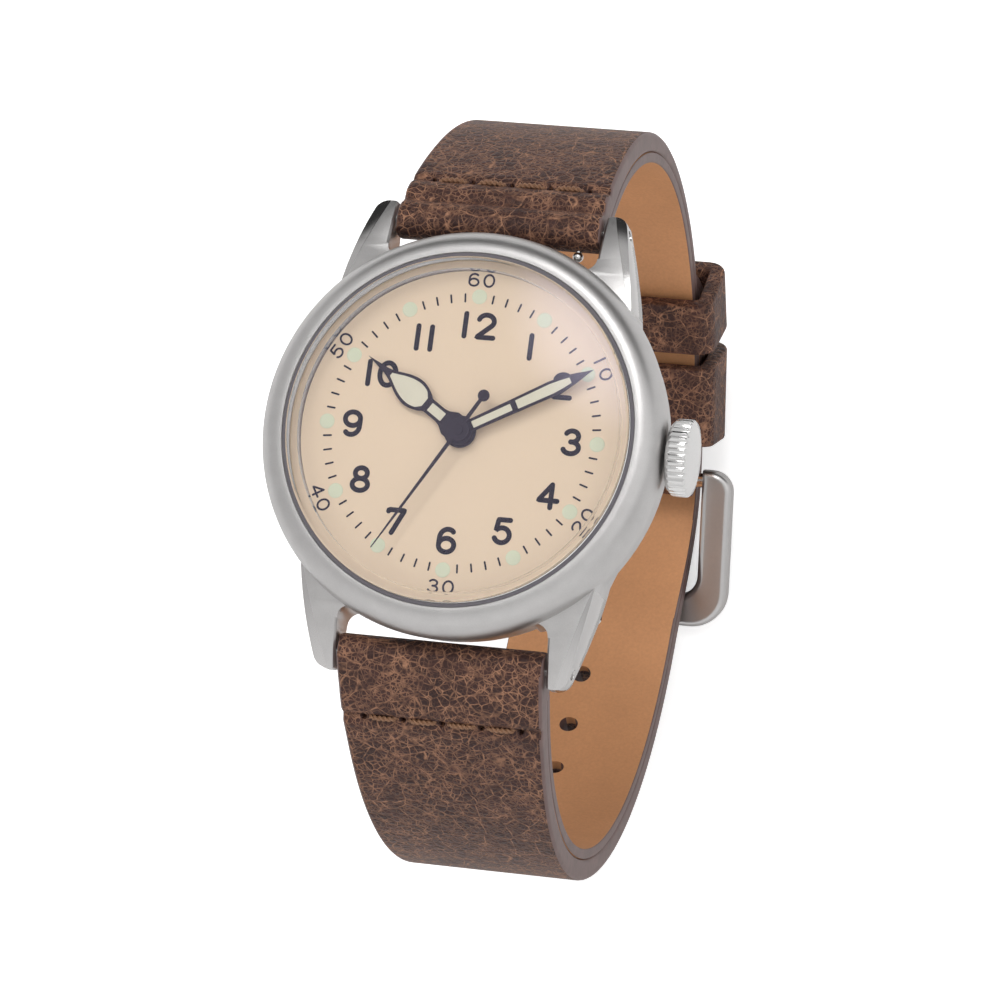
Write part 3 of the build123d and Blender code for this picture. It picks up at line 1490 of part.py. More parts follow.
def short_strap():
    """The 12 o'clock piece: its outer leather and its lining."""
    steps = 16
    whole = side_band(short_faces, bar_angle, hinge_angle, steps)
    hinge = loop_point(hinge_angle, 0)
    whole += across_bar(strap_end_radius, bar_y, bar_z) + across_bar(fold_radius, *hinge)
    whole &= strap_width_body()
    start = bar_angle - lining_start / degree_length
    end = hinge_angle + 2 * lining_start / degree_length
    layer = side_band(lining_layer(short_faces), start, end, steps)
    leather = whole - layer
    leather -= across_bar(bar_tube_radius + strap_bar_gap, bar_y, bar_z)
    leather -= across_bar(buckle_pin_radius + strap_bar_gap, *hinge)
    leather -= knob_room(bar_y, 1)
    notch = tongue_width / 2 + strap_gap
    reach = fold_radius + tongue_wrap
    leather -= slab((-notch, hinge[0] - reach, hinge[1] - reach),
                    (notch, hinge[0] + reach, hinge[1] + reach))
    return without(leather, short_stitches()), whole & layer


def across_strap(angle, offset, shape):
    """Set a shape square to the strap: its Z points outwards, its X goes across the strap."""
    y, z = loop_point(angle, offset)
    normal = loop_normal(angle)
    return Plane(origin=(0, y, z), x_dir=(1, 0, 0), z_dir=(0, normal[0], normal[1])) * shape


def tip_cutter():
    """What is cut from the end of the long strap to leave a rounded tip."""
    half = strap_lug_half + cut_over
    deep = 2 * strap_body_thickness
    block = slab((-half, -2 * tip_length, -deep), (half, 0, deep))
    z = loop_point(tip_angle, 0)[1]
    keep = extrude(Ellipse(half_width_at(z) + strap_gap, tip_length), deep + cut_over, both=True)
    return across_strap(tip_angle, tail_offset, block - keep)


def hole_cutters():
    """The strap's holes: a slot where the tongue goes through, and round ones on both sides of it."""
    used = hinge_angle - (fold_radius + tongue_wrap) / degree_length
    depth = 3 * strap_body_thickness
    slot = Box(tongue_width + 2 * tongue_gap, tongue_slot_length, depth)
    cutters = [across_strap(used, sum(long_faces(used)) / 2, slot)]
    for index in range(-strap_holes, 2):
        if index == 0:
            continue
        angle = used + index * strap_hole_pitch / degree_length
        middle = sum(long_faces(angle)) / 2
        cutters.append(across_strap(angle, middle, Cylinder(strap_hole_radius, depth)))
    return cutters


def long_strap():
    """The 6 o'clock piece: its outer leather and its lining."""
    steps = 48
    end = tip_angle + tip_length / degree_length
    whole = side_band(long_faces, long_start, end, steps)
    whole += across_bar(strap_end_radius, -bar_y, bar_z)
    whole &= strap_width_body()
    whole = without(whole, hole_cutters() + [tip_cutter()])
    start = long_start + lining_start / degree_length
    layer = side_band(lining_layer(long_faces), start, end + lining_start / degree_length, steps)
    leather = whole - layer
    leather -= across_bar(bar_tube_radius + strap_bar_gap, -bar_y, bar_z)
    leather -= knob_room(-bar_y, -1)
    return without(leather, long_stitches()), whole & layer


# Spring bars

def spring_bar_tube(side):
    """A spring bar's tube with its fixed end pin. A slot lets the release knob move."""
    y = side * bar_y
    end = -bar_tube_half
    body = rod_x(bar_tube_radius, end, bar_tube_half, y, bar_z)
    body -= rod_x(bar_tube_bore, end + bar_tube_radius, bar_tube_half + cut_over, y, bar_z)
    body += rod_x(bar_pin_radius, -lug_gap / 2 - bar_pin_reach, end, y, bar_z)
    slot_low = knob_x - release_travel - knob_neck - pivot_gap
    slot_high = knob_x + knob_neck + pivot_gap
    low_y, high_y = sorted((y, y - side * (bar_tube_radius + cut_over)))
    slot = slab((slot_low, low_y, bar_z - knob_neck - pivot_gap),
                (slot_high, high_y, bar_z + knob_neck + pivot_gap))
    return body - knob_turned(slot, side)


def release_pin(side):
    """The sprung end pin, with the neck and knob that draw it back."""
    y = side * bar_y
    body = rod_x(bar_pin_radius, bar_pin_inner, lug_gap / 2 + bar_pin_reach, y, bar_z)
    reach = knob_length - knob_radius
    neck = Pos(knob_x, y, bar_z) * Rot(90 * side, 0, 0) * Cylinder(knob_neck, reach, align=LOW)
    head = Pos(knob_x, y - side * reach, bar_z) * Sphere(knob_radius)
    return body + knob_turned(neck + head, side)


def bar_spring(side):
    """The coil spring inside a spring bar, between the tube's end and the pin."""
    start = -bar_tube_half + bar_tube_radius + bar_spring_wire / 2
    length = bar_pin_inner - release_travel - start - bar_spring_wire
    radius = bar_tube_bore - bar_spring_wire / 2 - pivot_gap
    path = Helix(length / bar_spring_turns, length, radius)
    section = RegularPolygon(bar_spring_wire / 2, bar_spring_sides)
    coil = sweep(Plane(origin=path @ 0, z_dir=path % 0) * section, path=path, is_frenet=True)
    return Pos(start, side * bar_y, bar_z) * Rot(0, 90, 0) * coil


# Buckle, drawn with its hinge at the origin, X across the strap and Y towards the far bar

def buckle_plane():
    hinge = loop_point(hinge_angle, 0)
    far = loop_point(angle_at(buckle_far_y, -1), buckle_far_offset)
    run = (far[0] - hinge[0], far[1] - hinge[1])
    length = hypot(*run)
    out = (-run[1] / length, run[0] / length)
    return Plane(origin=(0, *hinge), x_dir=(-1, 0, 0), z_dir=(0, -out[0], -out[1])), length


def buckle_frame():
    """The frame: two side bars with eyes for the pin, and the notched bar that the tongue rests on."""
    plane, length = buckle_plane()
    outer_half = buckle_inner_half + buckle_bar_width
    back = -buckle_bar_height / 2
    front = length + buckle_bar_width / 2
    height = buckle_bar_height
    body = slab((-outer_half, back, -height / 2), (outer_half, front, height / 2))
    corners = body.edges().filter_by(Axis.Z).sort_by(Axis.Y)[-2:]
    body = fillet(corners, buckle_corner)
    corners = body.edges().filter_by(Axis.Z).sort_by(Axis.Y)[:2]
    body = fillet(corners, buckle_hinge_corner)
    body -= slab((-buckle_inner_half, back - cut_over, -height), (
        buckle_inner_half, length - buckle_bar_width / 2, height))
    inner_corners = [e for e in body.edges().filter_by(Axis.Z)
                     if abs(abs(e.center().X) - buckle_inner_half) < face_gap and e.center().Y > 0]
    body = fillet(inner_corners, buckle_inner_corner)
    top_edges = [e for e in body.edges() if abs(abs(e.center().Z) - height / 2) < face_gap]
    body = fillet(top_edges, buckle_edge)
    body -= rod_x(buckle_pin_radius, -outer_half + buckle_pin_end, outer_half - buckle_pin_end)
    notch = tongue_width / 2 + 2 * tongue_gap
    body -= slab((-notch, length - buckle_bar_width, -height), (
        notch, front + cut_over, buckle_notch_depth - height / 2))
    return plane * body


def buckle_pin():
    plane, length = buckle_plane()
    half = buckle_inner_half + buckle_bar_width - buckle_pin_end
    return plane * rod_x(buckle_pin_radius, -half, half)


def side_link(start, end, half_thickness, half_width):
    """A bar with round ends between two points of the side view, as wide as the tongue."""
    run = (end[0] - start[0], end[1] - start[1])
    turn = degrees(atan2(run[1], run[0]))
    body = Pos(0, (start[0] + end[0]) / 2, (start[1] + end[1]) / 2) * Rot(turn, 0, 0) * Box(
        2 * half_width, hypot(*run), 2 * half_thickness)
    for at in (start, end):
        body += rod_x(half_thickness, -half_width, half_width, *at)
    return body


def buckle_tongue():
    """The tongue: an eye on the pin, a neck through the strap, and a blade out to the far bar."""
    hinge = loop_point(hinge_angle, 0)
    half = tongue_thickness / 2
    eye = buckle_pin_radius + tongue_gap + tongue_wrap
    used = hinge_angle - (fold_radius + tongue_wrap) / degree_length
    outside = long_faces(used)[1]
    elbow = loop_point(used - tongue_lean, outside + half + tongue_gap)
    foot = loop_point(used, long_faces(used)[0] - half)
    far_angle = angle_at(buckle_far_y, -1)
    notch_floor = buckle_far_offset + buckle_bar_height / 2 - buckle_notch_depth
    rest = loop_point(far_angle, notch_floor + tongue_rest_gap + half)
    run = (rest[0] - elbow[0], rest[1] - elbow[1])
    share = 1 + tongue_overhang / hypot(*run)
    tip = (elbow[0] + run[0] * share, elbow[1] + run[1] * share)
    body = across_bar(eye, *hinge, tongue_width / 2)
    body += side_link(hinge, foot, half, tongue_width / 2)
    body += side_link(foot, elbow, half, tongue_width / 2)
    body += side_link(elbow, tip, half, tongue_width / 2)
    return body - across_bar(buckle_pin_radius + tongue_gap, *hinge)


# Keepers

def stack_faces(angle):
    """Both straps together where they overlap, from the short one's lining to the tail's outside."""
    return (short_faces(angle)[0], long_faces(angle)[1])


def keeper(middle_y, width):
    """A leather loop round both straps. It follows their curve."""
    turn = width / 2 / degree_length
    middle = angle_at(middle_y, -1)
    steps = 6
    half = half_width_at(loop_point(middle, 0)[1]) + keeper_side_gap
    outer = side_band(stack_faces, middle - turn, middle + turn, steps,
                      keeper_clearance + keeper_wall, keeper_clearance + keeper_wall,
                      half + keeper_wall)
    inner = side_band(stack_faces, middle - 2 * turn, middle + 2 * turn, 2 * steps,
                      keeper_clearance, keeper_clearance, half)
    low, high = stack_faces(middle)
    normal = loop_normal(middle)
    along = Plane(origin=(0, *loop_point(middle, (low + high) / 2)), x_dir=(1, 0, 0),
                  z_dir=(0, -normal[1], normal[0]))
    section = RectangleRounded(2 * (half + keeper_wall),
                               high - low + 2 * (keeper_clearance + keeper_wall), keeper_corner)
    return (outer & along * extrude(section, width, both=True)) - inner


def group(solids):
    return Compound(children=solids)


def make_parts():
    """Every piece under its name."""
    upper_leather, upper_lining = short_strap()
    lower_leather, lower_lining = long_strap()
    return {
        "mid_case": mid_case(),
        "bezel": bezel(),
        "crystal": crystal(),
        "crystal_gasket": crystal_gasket(),
        "dial": dial(),
        "movement_holder": movement_holder(),
        "case_back": case_back(),
        "case_back_gasket": back_gasket(),
        "crown": crown(),
        "crown_gasket": crown_gasket(),
        "crown_tube": crown_tube(),
        "winding_stem": winding_stem(),
        "main_plate": main_plate(),
        "barrel_bridge": barrel_bridge(),
        "train_bridge": train_bridge(),
        "balance_cock": balance_cock(),
        "pallet_bridge": pallet_bridge(),
        "jewels": jewels(),
        "bridge_screws": bridge_screws(),
        "mainspring_barrel": group([barrel_drum(), barrel_cover()]),
        "barrel_arbor": barrel_arbor(),
        "mainspring": mainspring(),
        "centre_wheel": centre_wheel(),
        "third_wheel": third_wheel(),
        "fourth_wheel": fourth_wheel(),
        "escape_wheel": escape_wheel(),
        "pallet_fork": group([pallet_fork(), *pallet_stones()]),
        "balance_wheel": group([balance_wheel(), balance_roller()]),
        "hairspring": hairspring(),
        "crown_wheel": crown_wheel(),
        "ratchet_wheel": ratchet_wheel(),
        "click": click_pawl(),
        "works_springs": group([click_spring(), lever_spring()]),
        "winding_pinion": winding_pinion(),
        "sliding_pinion": clutch(),
        "setting_lever": setting_lever(),
        "yoke": yoke(),
        "works_pins": group([crown_wheel_pin(), click_pin(), *works_pins()]),
        "cannon_pinion": cannon_pinion(),
        "minute_wheel": minute_wheel(),
        "hour_wheel": hour_wheel(),
        "setting_wheel": setting_wheel(),
        "hour_hand": hour_hand(),
        "hour_hand_lume": hour_hand_lume(),
        "minute_hand": minute_hand(),
        "minute_hand_lume": minute_hand_lume(),
        "seconds_hand": seconds_hand(),
        "upper_strap_leather": upper_leather,
        "lower_strap_leather": lower_leather,
        "strap_linings": group([upper_lining, lower_lining]),
        "strap_stitching": group(short_stitches() + long_stitches()),
        "spring_bar_tubes": group([spring_bar_tube(1), spring_bar_tube(-1)]),
        "spring_bar_springs": group([bar_spring(1), bar_spring(-1)]),
        "upper_release_pin": release_pin(1),
        "lower_release_pin": release_pin(-1),
        "buckle_frame": buckle_frame(),
        "buckle_pin": buckle_pin(),
        "buckle_tongue": buckle_tongue(),
        "fixed_keeper": keeper(fixed_keeper_y, fixed_keeper_width),
        "sliding_keeper": keeper(sliding_keeper_y, sliding_keeper_width),
    }


os.makedirs("parts", exist_ok=True)
for name, shape in make_parts().items():
    export_step(shape, f"parts/{name}.step")
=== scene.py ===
import json
import math
import bpy
from mathutils import Matrix, Vector


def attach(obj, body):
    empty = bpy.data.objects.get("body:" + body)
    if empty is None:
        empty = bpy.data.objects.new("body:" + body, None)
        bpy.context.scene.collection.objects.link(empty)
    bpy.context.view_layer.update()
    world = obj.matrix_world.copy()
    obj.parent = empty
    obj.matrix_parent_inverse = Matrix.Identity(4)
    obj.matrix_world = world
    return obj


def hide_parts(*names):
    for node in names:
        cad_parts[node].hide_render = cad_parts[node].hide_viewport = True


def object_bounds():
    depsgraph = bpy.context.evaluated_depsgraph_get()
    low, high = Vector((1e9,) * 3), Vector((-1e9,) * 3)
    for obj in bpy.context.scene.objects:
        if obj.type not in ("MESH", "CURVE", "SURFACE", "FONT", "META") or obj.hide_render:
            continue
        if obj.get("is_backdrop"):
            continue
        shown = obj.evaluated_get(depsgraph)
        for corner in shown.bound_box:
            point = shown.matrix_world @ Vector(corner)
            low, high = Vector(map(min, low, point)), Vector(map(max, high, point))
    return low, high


bl_info = {
    "name": "Field watch finishes",
    "version": (1, 0, 0),
    "blender": (4, 5, 0),
    "location": "3D View > Sidebar > Watch",
    "description": "Dresses a field watch: steel case, domed crystal, dial print, hands and strap",
    "category": "Object",
}

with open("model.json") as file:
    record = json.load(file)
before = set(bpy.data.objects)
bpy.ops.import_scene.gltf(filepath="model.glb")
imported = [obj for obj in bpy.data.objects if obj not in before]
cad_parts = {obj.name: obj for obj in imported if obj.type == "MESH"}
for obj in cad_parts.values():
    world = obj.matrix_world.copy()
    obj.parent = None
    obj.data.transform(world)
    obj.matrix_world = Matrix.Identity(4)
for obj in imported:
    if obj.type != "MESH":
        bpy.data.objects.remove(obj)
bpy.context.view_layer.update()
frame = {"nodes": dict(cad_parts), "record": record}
nodes = frame["nodes"]

MM = 0.001
FULL_TURN = 2 * math.pi
QUARTER_TURN = math.pi / 2
HOURS = 12
MINUTES = 60

# Angles: what is smoothed, what is bevelled, and what counts as flat
SMOOTH_ANGLE = math.radians(32)
STRAP_SMOOTH_ANGLE = math.radians(40)
CRYSTAL_SMOOTH_ANGLE = math.radians(50)
BEVEL_ANGLE = math.radians(35)
FLAT_ANGLE = math.radians(0.5)

# Distances under which points become one
WELD_DISTANCE = 0.004 * MM
STRAP_WELD_DISTANCE = 0.002 * MM
NODE_WELD_DISTANCE = 0.001 * MM
PRINT_WELD_DISTANCE = 0.0005 * MM
RING_REACH = 0.01 * MM

# How far apart a number's two digits stand, as shares of its height
SPACING_SHARES = {"11": 0.5, "10": 0.7, "12": 0.76}
# How far an hour numeral stands right of and above its place on the ring, as shares of its height
NUDGE_SHARES = {1: (0.14, -0.09), 10: (0.12, -0.1), 11: (0.14, -0.07)}
# Outline of a luminous dot, as shares of its radius and its height
DOT_SHARES = ((1, 0), (1, 0.4), (0.93, 0.8), (0.75, 1), (0.02, 1))

# The three nets of creases in the leather
FINE_NET = {"Cell": 0.46 * MM, "Width": 0.13, "Wander": 0.35}
MIDDLE_NET = {"Cell": 0.85 * MM, "Width": 0.09, "Wander": 0.4}
LARGE_NET = {"Cell": 2.4 * MM, "Width": 0.04, "Wander": 0.45}

# Sockets of a Mix node that mixes colours
FIRST_COLOUR, SECOND_COLOUR, MIXED_COLOUR = 6, 7, 2

# Stations round a strap's end, how much of its radius they reach, and its thickness at the tip
END_STEPS = 8
END_REACH_SHARE = 0.999
END_THICKNESS = 0.001 * MM


# Values

def linear(red, green, blue):
    """A colour given in 8-bit steps, as the linear value that Blender stores."""
    steps = [value / 255 for value in (red, green, blue)]
    return tuple(s / 12.92 if s <= 0.04045 else ((s + 0.055) / 1.055) ** 2.4 for s in steps)


def size(name, description, millimetres):
    return bpy.props.FloatProperty(name=name, description=description, default=millimetres * MM,
                                   soft_min=0, unit="LENGTH", precision=5)


def colour(name, description, *steps):
    return bpy.props.FloatVectorProperty(name=name, description=description, default=linear(*steps),
                                         size=3, min=0, max=1, subtype="COLOR")


def share(name, description, value):
    return bpy.props.FloatProperty(name=name, description=description, default=value, min=0, max=1,
                                   subtype="FACTOR")


def strength(name, description, value):
    return bpy.props.FloatProperty(name=name, description=description, default=value, min=0)


def count(name, description, value):
    return bpy.props.IntProperty(name=name, description=description, default=value, min=1)


class WatchCaseSettings(bpy.types.PropertyGroup):
    steel: colour("Blasted steel", "Colour of the bead-blasted case", 196, 194, 193)
    steel_roughness: share("Blasted roughness", "How dull the blasted steel is", 0.36)
    polished: colour("Polished steel", "Colour of the polished crown", 222, 221, 220)
    polished_roughness: share("Polish roughness", "How dull the polished steel is", 0.12)
    satin_roughness: share("Satin roughness", "How dull the satin steel of the buckle is", 0.3)
    grain: size("Blasting grain", "Size of one pit of the blasted finish", 0.09)
    edge_bevel: size("Edge bevel", "Width of the soft bevel on the case's edges", 0.12)
    crown_bevel: size("Crown bevel", "Width of the soft bevel on the crown's edges", 0.05)
    facet_start: size("Facet at the root", "Distance across of the lugs' polished facet, at its root", 13.72)
    facet_root: size("Facet root", "Distance along 12 to 6 where the facet begins", 13.0)
    facet_slope: share("Facet slope", "How fast the facet's inner edge comes in towards the tip", 0.32)
    gasket: colour("Gasket", "Colour of the ring round the crystal", 96, 92, 98)
    crystal_radius: size("Crystal radius", "Outer radius of the domed crystal", 16.12)
    crystal_base: size("Crystal base", "Height of the crystal's foot over the case back", 8.0)
    crystal_side: size("Crystal side", "Height of the crystal's straight side", 2.35)
    crystal_crown: size("Crystal crown", "Rise of the dome above its side", 1.05)
    crystal_wall: size("Crystal wall", "Thickness of the crystal", 1.1)
    crystal_edge: size("Crystal edge", "Radius of the dome's rounded edge", 0.35)
    bezel_radius: size("Bezel radius", "Outer radius of the bezel", 19.0)
    bezel_bottom: size("Bezel bottom", "Height of the bezel's lower edge", 6.4)
    bezel_skirt: size("Bezel skirt", "Height of the bezel's straight skirt", 0.5)
    bezel_top: size("Bezel top", "Height of the bezel's top", 9.85)
    bezel_top_radius: size("Bezel top radius", "Radius where the bezel is highest", 16.75)
    bezel_bore: size("Bezel bore", "Radius of the hole for the crystal", 16.5)
    bezel_neck: size("Bezel neck", "Radius that sits on the case's neck", 17.62)
    bezel_lip: size("Bezel lip", "Radius of the lip under the crystal", 15.95)
    bezel_lip_bottom: size("Bezel lip height", "Height of the lip's underside", 7.65)
    bezel_lip_height: size("Bezel lip thickness", "Thickness of the lip", 0.35)


class WatchDialSettings(bpy.types.PropertyGroup):
    face: colour("Dial", "Colour of the dial", 238, 214, 186)
    print_ink: colour("Print", "Colour of the numerals and ticks", 24, 19, 26)
    outer_ink: colour("Minute print", "Colour of the small minute numerals", 38, 32, 44)
    lume: colour("Dial lume", "Colour of the luminous dots", 222, 226, 200)
    hand: colour("Hands", "Colour of the hands", 36, 27, 36)
    hand_lume: colour("Hand lume", "Colour of the luminous paint in the hands", 224, 218, 198)
    hand_bevel: size("Hand bevel", "Width of the soft bevel on the hands' edges", 0.03)
    dial_top: size("Dial height", "Height of the dial's face over the case back", 7.6)
    film: size("Print film", "Thickness of the printed ink", 0.02)
    numeral_height: size("Numeral height", "Height of the hour numerals", 2.58)
    numeral_stroke: size("Numeral stroke", "Width of the hour numerals' strokes", 0.47)
    numeral_radius: size("Numeral ring", "Distance of the hour numerals from the middle", 10.05)
    numeral_spread: size("Numeral spread", "How much further out 3 and 9 stand", 0.3)
    minute_height: size("Minute numeral height", "Height of the small minute numerals", 1.3)
    minute_stroke: size("Minute numeral stroke", "Width of the small numerals' strokes", 0.19)
    minute_radius: size("Minute numeral ring", "Distance of the small numerals from the middle", 14.3)
    tick_radius: size("Tick ring", "Distance of the ticks' middles from the dial's middle", 12.62)
    tick_length: size("Tick length", "Length of a minute tick", 0.68)
    tick_width: size("Tick width", "Width of a minute tick", 0.17)
    dot_ring: size("Dot ring", "Distance of the luminous dots from the middle", 12.76)
    dot_radius: size("Dot radius", "Radius of a luminous dot", 0.7)
    dot_height: size("Dot height", "How far a luminous dot stands up", 0.05)


class WatchStrapSettings(bpy.types.PropertyGroup):
    leather: colour("Leather", "Dark base colour of the leather", 52, 32, 30)
    leather_light: colour("Leather highlights", "Lighter brown of rubbed patches", 72, 46, 40)
    vein: colour("Veins", "Colour of the fine cracks in the leather", 174, 128, 100)
    edge: colour("Edge paint", "Colour of the painted strap edges", 112, 88, 84)
    # Lining: the leather's own tan, raised a little as painted light for the inside of the strap loop, which
    # lies in shade
    lining: colour("Lining", "Colour of the lining", 204, 148, 104)
    thread: colour("Thread", "Colour of the stitching", 150, 110, 82)
    bar_y: size("Bar distance", "Distance of the spring bars from the case's middle", 20.6)
    bar_z: size("Bar height", "Height of the spring bars over the case back", 3.4)
    loop_depth: size("Loop half depth", "Half the strap loop's depth along 12 to 6", 34.9)
    loop_centre: size("Loop centre", "Depth of the loop's middle under the case back", 23.2)
    lug_half: size("Half width at lugs", "Half the strap's width at the spring bars", 9.75)
    back_half: size("Half width at back", "Half the strap's width at the loop's bottom", 8.45)
    taper_power: count("Width taper", "How much faster the strap narrows at the lugs than lower down", 3)
    end_radius: size("End radius", "Radius of the strap's rounded ends round the bars", 1.85)
    body: size("Body thickness", "Thickness of the strap past the stitching", 3.1)
    short_end: size("Short end thickness", "Thickness of the short strap at the buckle", 2.2)
    long_end: size("Long end thickness", "Thickness of the long strap's tail", 2.4)
    taper: size("Taper length", "Run over which the padded end thins out", 12.0)
    lining_thickness: size("Lining thickness", "Thickness of the lining", 1.0)
    lining_start: size("Lining start", "Distance from the bar to the lining's end", 3.2)
    lining_ramp: size("Lining ramp", "Run over which the leather makes room for the lining", 0.4)
    lining_slack: size("Lining slack", "Gap between the leather and its lining", 0.01)
    layer_gap: size("Layer gap", "Gap between straps that lie on each other", 0.15)
    fold_radius: size("Fold radius", "Radius of the fold round the buckle's pin", 1.75)
    hinge_y: size("Buckle hinge", "Y of the buckle's pin", 9.0)
    climb_start: size("Climb start", "Y where the long strap begins to climb", -8.0)
    climb_top: size("Climb top", "Y where it is highest", 7.4)
    climb_end: size("Climb end", "Y where it lies on the short strap", 14.0)
    tip_y: size("Tip start", "Y where the tail's rounding begins", 25.0)
    tip_length: size("Tip length", "Length of the tail's rounding", 5.0)
    corner: size("Edge rounding", "Radius of the strap's long edges", 0.4)
    lining_corner: size("Lining edge rounding", "Radius of the linings' long edges", 0.15)
    upper_stitches: size("Upper stitch row", "Distance of the upper row from its bar", 4.1)
    lower_stitches: size("Lower stitch row", "Distance of the lower row from its bar", 5.5)
    stitch_groove: size("Stitch groove", "Half the width of the groove that the stitches lie in", 0.42)
    stitch_hole: size("Stitch hole", "Radius of the holes between the stitches", 0.36)
    stitch_pitch: size("Stitch pitch", "Distance from one stitch to the next", 3.75)
    stitch_length: size("Stitch length", "Length of one stitch", 2.85)
    stitch_radius: size("Thread radius", "Radius of the thread", 0.27)
    stitch_sink: size("Stitch depth", "How far the thread's middle lies under the leather's face", 0.05)
    stitches: count("Stitches", "Stitches in a row", 4)
    hole_radius: size("Hole radius", "Radius of the strap's holes", 0.95)
    hole_pitch: size("Hole pitch", "Distance between the strap's holes", 6.5)
    holes: count("Holes", "Round holes before the one in use", 5)
    slot_length: size("Slot length", "Length of the slot that the tongue goes through", 3.8)
    slot_width: size("Slot width", "Width of the slot that the tongue goes through", 1.96)
    tongue_wrap: size("Tongue wrap", "Thickness of the tongue's eye", 0.8)
    tongue_bevel: size("Tongue bevel", "Width of the soft bevel on the tongue's edges", 0.1)
    keeper_wall: size("Keeper wall", "Thickness of the keepers' leather", 1.6)
    keeper_gap: size("Keeper gap", "Room between a keeper and the straps", 0.3)
    keeper_side: size("Keeper side gap", "Room between a keeper and the strap's edges", 0.6)
    keeper_corner: size("Keeper corner", "Outer corner radius of the keepers", 1.5)
    keeper_rim: size("Keeper rim", "Radius of the keepers' rounded rims", 0.35)
    fixed_keeper_y: size("Fixed keeper", "Y of the fixed keeper", 16.75)
    fixed_keeper_width: size("Fixed keeper width", "Width of the fixed keeper", 8.8)
    sliding_keeper_y: size("Sliding keeper", "Y of the sliding keeper", 24.3951)
    sliding_keeper_width: size("Sliding keeper width", "Width of the sliding keeper", 6.2)


class WatchStageSettings(bpy.types.PropertyGroup):
    camera_x: size("Camera X", "Camera place along X", 115.85)
    camera_y: size("Camera Y", "Camera place along Y", -81.2)
    camera_z: size("Camera Z", "Camera height", 442.4)
    lens: size("Lens", "Focal length, with a sensor 36 mm wide", 180)
    floor_half: size("Floor", "Half the floor's width", 3000)
    light_distance: size("Light distance", "Distance of the lamps from the watch", 620)
    key_size: size("Key size", "Width of the key light", 220)
    key_power: strength("Key light", "Power of the key light in watts", 0.9)
    room: share("Room", "Brightness of the white room around the watch", 0.66)
    softbox: strength("Softbox", "How much brighter the softbox overhead is", 5.0)
    side_box: strength("Side box", "How much brighter the box at the right is", 0.45)
    front: share("Front", "How much brighter the room is in front of the watch", 0.3)
    black_card: share("Black card", "How dark the card behind the watch is", 0.93)
    floor_tone: share("Floor tone", "How white the floor is", 0.85)
    floor_glow: share("Floor glow", "How much the floor glows for the camera alone", 0.55)


# Meshes

def only(*pieces):
    """Leave these pieces selected, and the first of them active."""
    bpy.ops.object.select_all(action="DESELECT")
    for piece in pieces:
        piece.select_set(True)
    bpy.context.view_layer.objects.active = pieces[0]


def edit(piece):
    only(piece)
    bpy.ops.object.mode_set(mode="EDIT")


def leave_edit():
    bpy.ops.object.mode_set(mode="OBJECT")


def settle(piece):
    """Put a piece's place into its mesh."""
    only(piece)
    bpy.ops.object.transform_apply(location=True, rotation=True, scale=True)


def finish_piece(piece, material, body, slot=None, replaces=(), angle=SMOOTH_ANGLE):
    """Smooth a piece, give it its material and hang it on its body."""
    settle(piece)
    if angle:
        bpy.ops.object.shade_smooth_by_angle(angle=angle)
    if material:
        piece.data.materials.clear()
        piece.data.materials.append(material)
    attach(piece, body)
    if replaces:
        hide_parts(*replaces)
    return piece


def apply_all(piece):
    only(piece)
    for modifier in list(piece.modifiers):
        bpy.ops.object.modifier_apply(modifier=modifier.name)


def bevel(piece, width, segments=2, angle=BEVEL_ANGLE):
    modifier = piece.modifiers.new("Edges", "BEVEL")
    modifier.width = width
    modifier.segments = segments
    modifier.limit_method = "ANGLE"
    modifier.angle_limit = angle
    modifier.harden_normals = False
    apply_all(piece)


def merged_copy(name, node, bevel_width=0):
    """A copy of a node with its loose triangles joined up, so that it can be smoothed."""
    mesh = nodes[node].data.copy()
    piece = bpy.data.objects.new(name, mesh)
    bpy.context.scene.collection.objects.link(piece)
    mesh.materials.clear()
    edit(piece)
    bpy.ops.mesh.select_all(action="SELECT")
    bpy.ops.mesh.remove_doubles(threshold=NODE_WELD_DISTANCE)
    bpy.ops.mesh.customdata_custom_splitnormals_clear()
    if bevel_width:
        bpy.ops.mesh.dissolve_limited(angle_limit=FLAT_ANGLE)
    leave_edit()
    if bevel_width:
        bevel(piece, bevel_width)
    return piece


def turned(name, outline, segments=192, closed=True):
    """A turned piece: a circle drawn through each radius and height of its outline."""
    radius, height = outline[0]
    bpy.ops.object.select_all(action="DESELECT")
    bpy.ops.mesh.primitive_circle_add(vertices=segments, radius=radius, location=(0, 0, height))
    piece = bpy.context.object
    piece.name = name
    settle(piece)
    edit(piece)
    bpy.ops.mesh.select_mode(type="EDGE")
    bpy.ops.mesh.select_all(action="SELECT")
    for (near, low), (far, high) in zip(outline, outline[1:]):
        bpy.ops.mesh.extrude_edges_move(TRANSFORM_OT_translate={"value": (0, 0, high - low)})
        bpy.ops.transform.resize(value=(far / near, far / near, 1), center_override=(0, 0, high))
    bpy.ops.mesh.select_all(action="DESELECT")
    bpy.ops.mesh.select_non_manifold(extend=False)
    if closed:
        bpy.ops.mesh.bridge_edge_loops()
    else:
        leave_edit()
        cap_pole(piece, outline[-1])
        cap_pole(piece, outline[0])
        edit(piece)
    bpy.ops.mesh.select_all(action="SELECT")
    bpy.ops.mesh.normals_make_consistent(inside=False)
    leave_edit()
    return piece


def cap_pole(piece, place):
    """Close a small ring of a turned piece with a fan to the axis."""
    radius, height = place
    edit(piece)
    bpy.ops.mesh.select_mode(type="VERT")
    bpy.ops.mesh.select_all(action="DESELECT")
    leave_edit()
    for vertex in piece.data.vertices:
        at_radius = abs(vertex.co.xy.length - radius) < RING_REACH
        vertex.select = at_radius and abs(vertex.co.z - height) < RING_REACH
    bpy.ops.object.mode_set(mode="EDIT")
    bpy.ops.mesh.extrude_edges_move()
    bpy.ops.mesh.merge(type="CENTER")
    leave_edit()


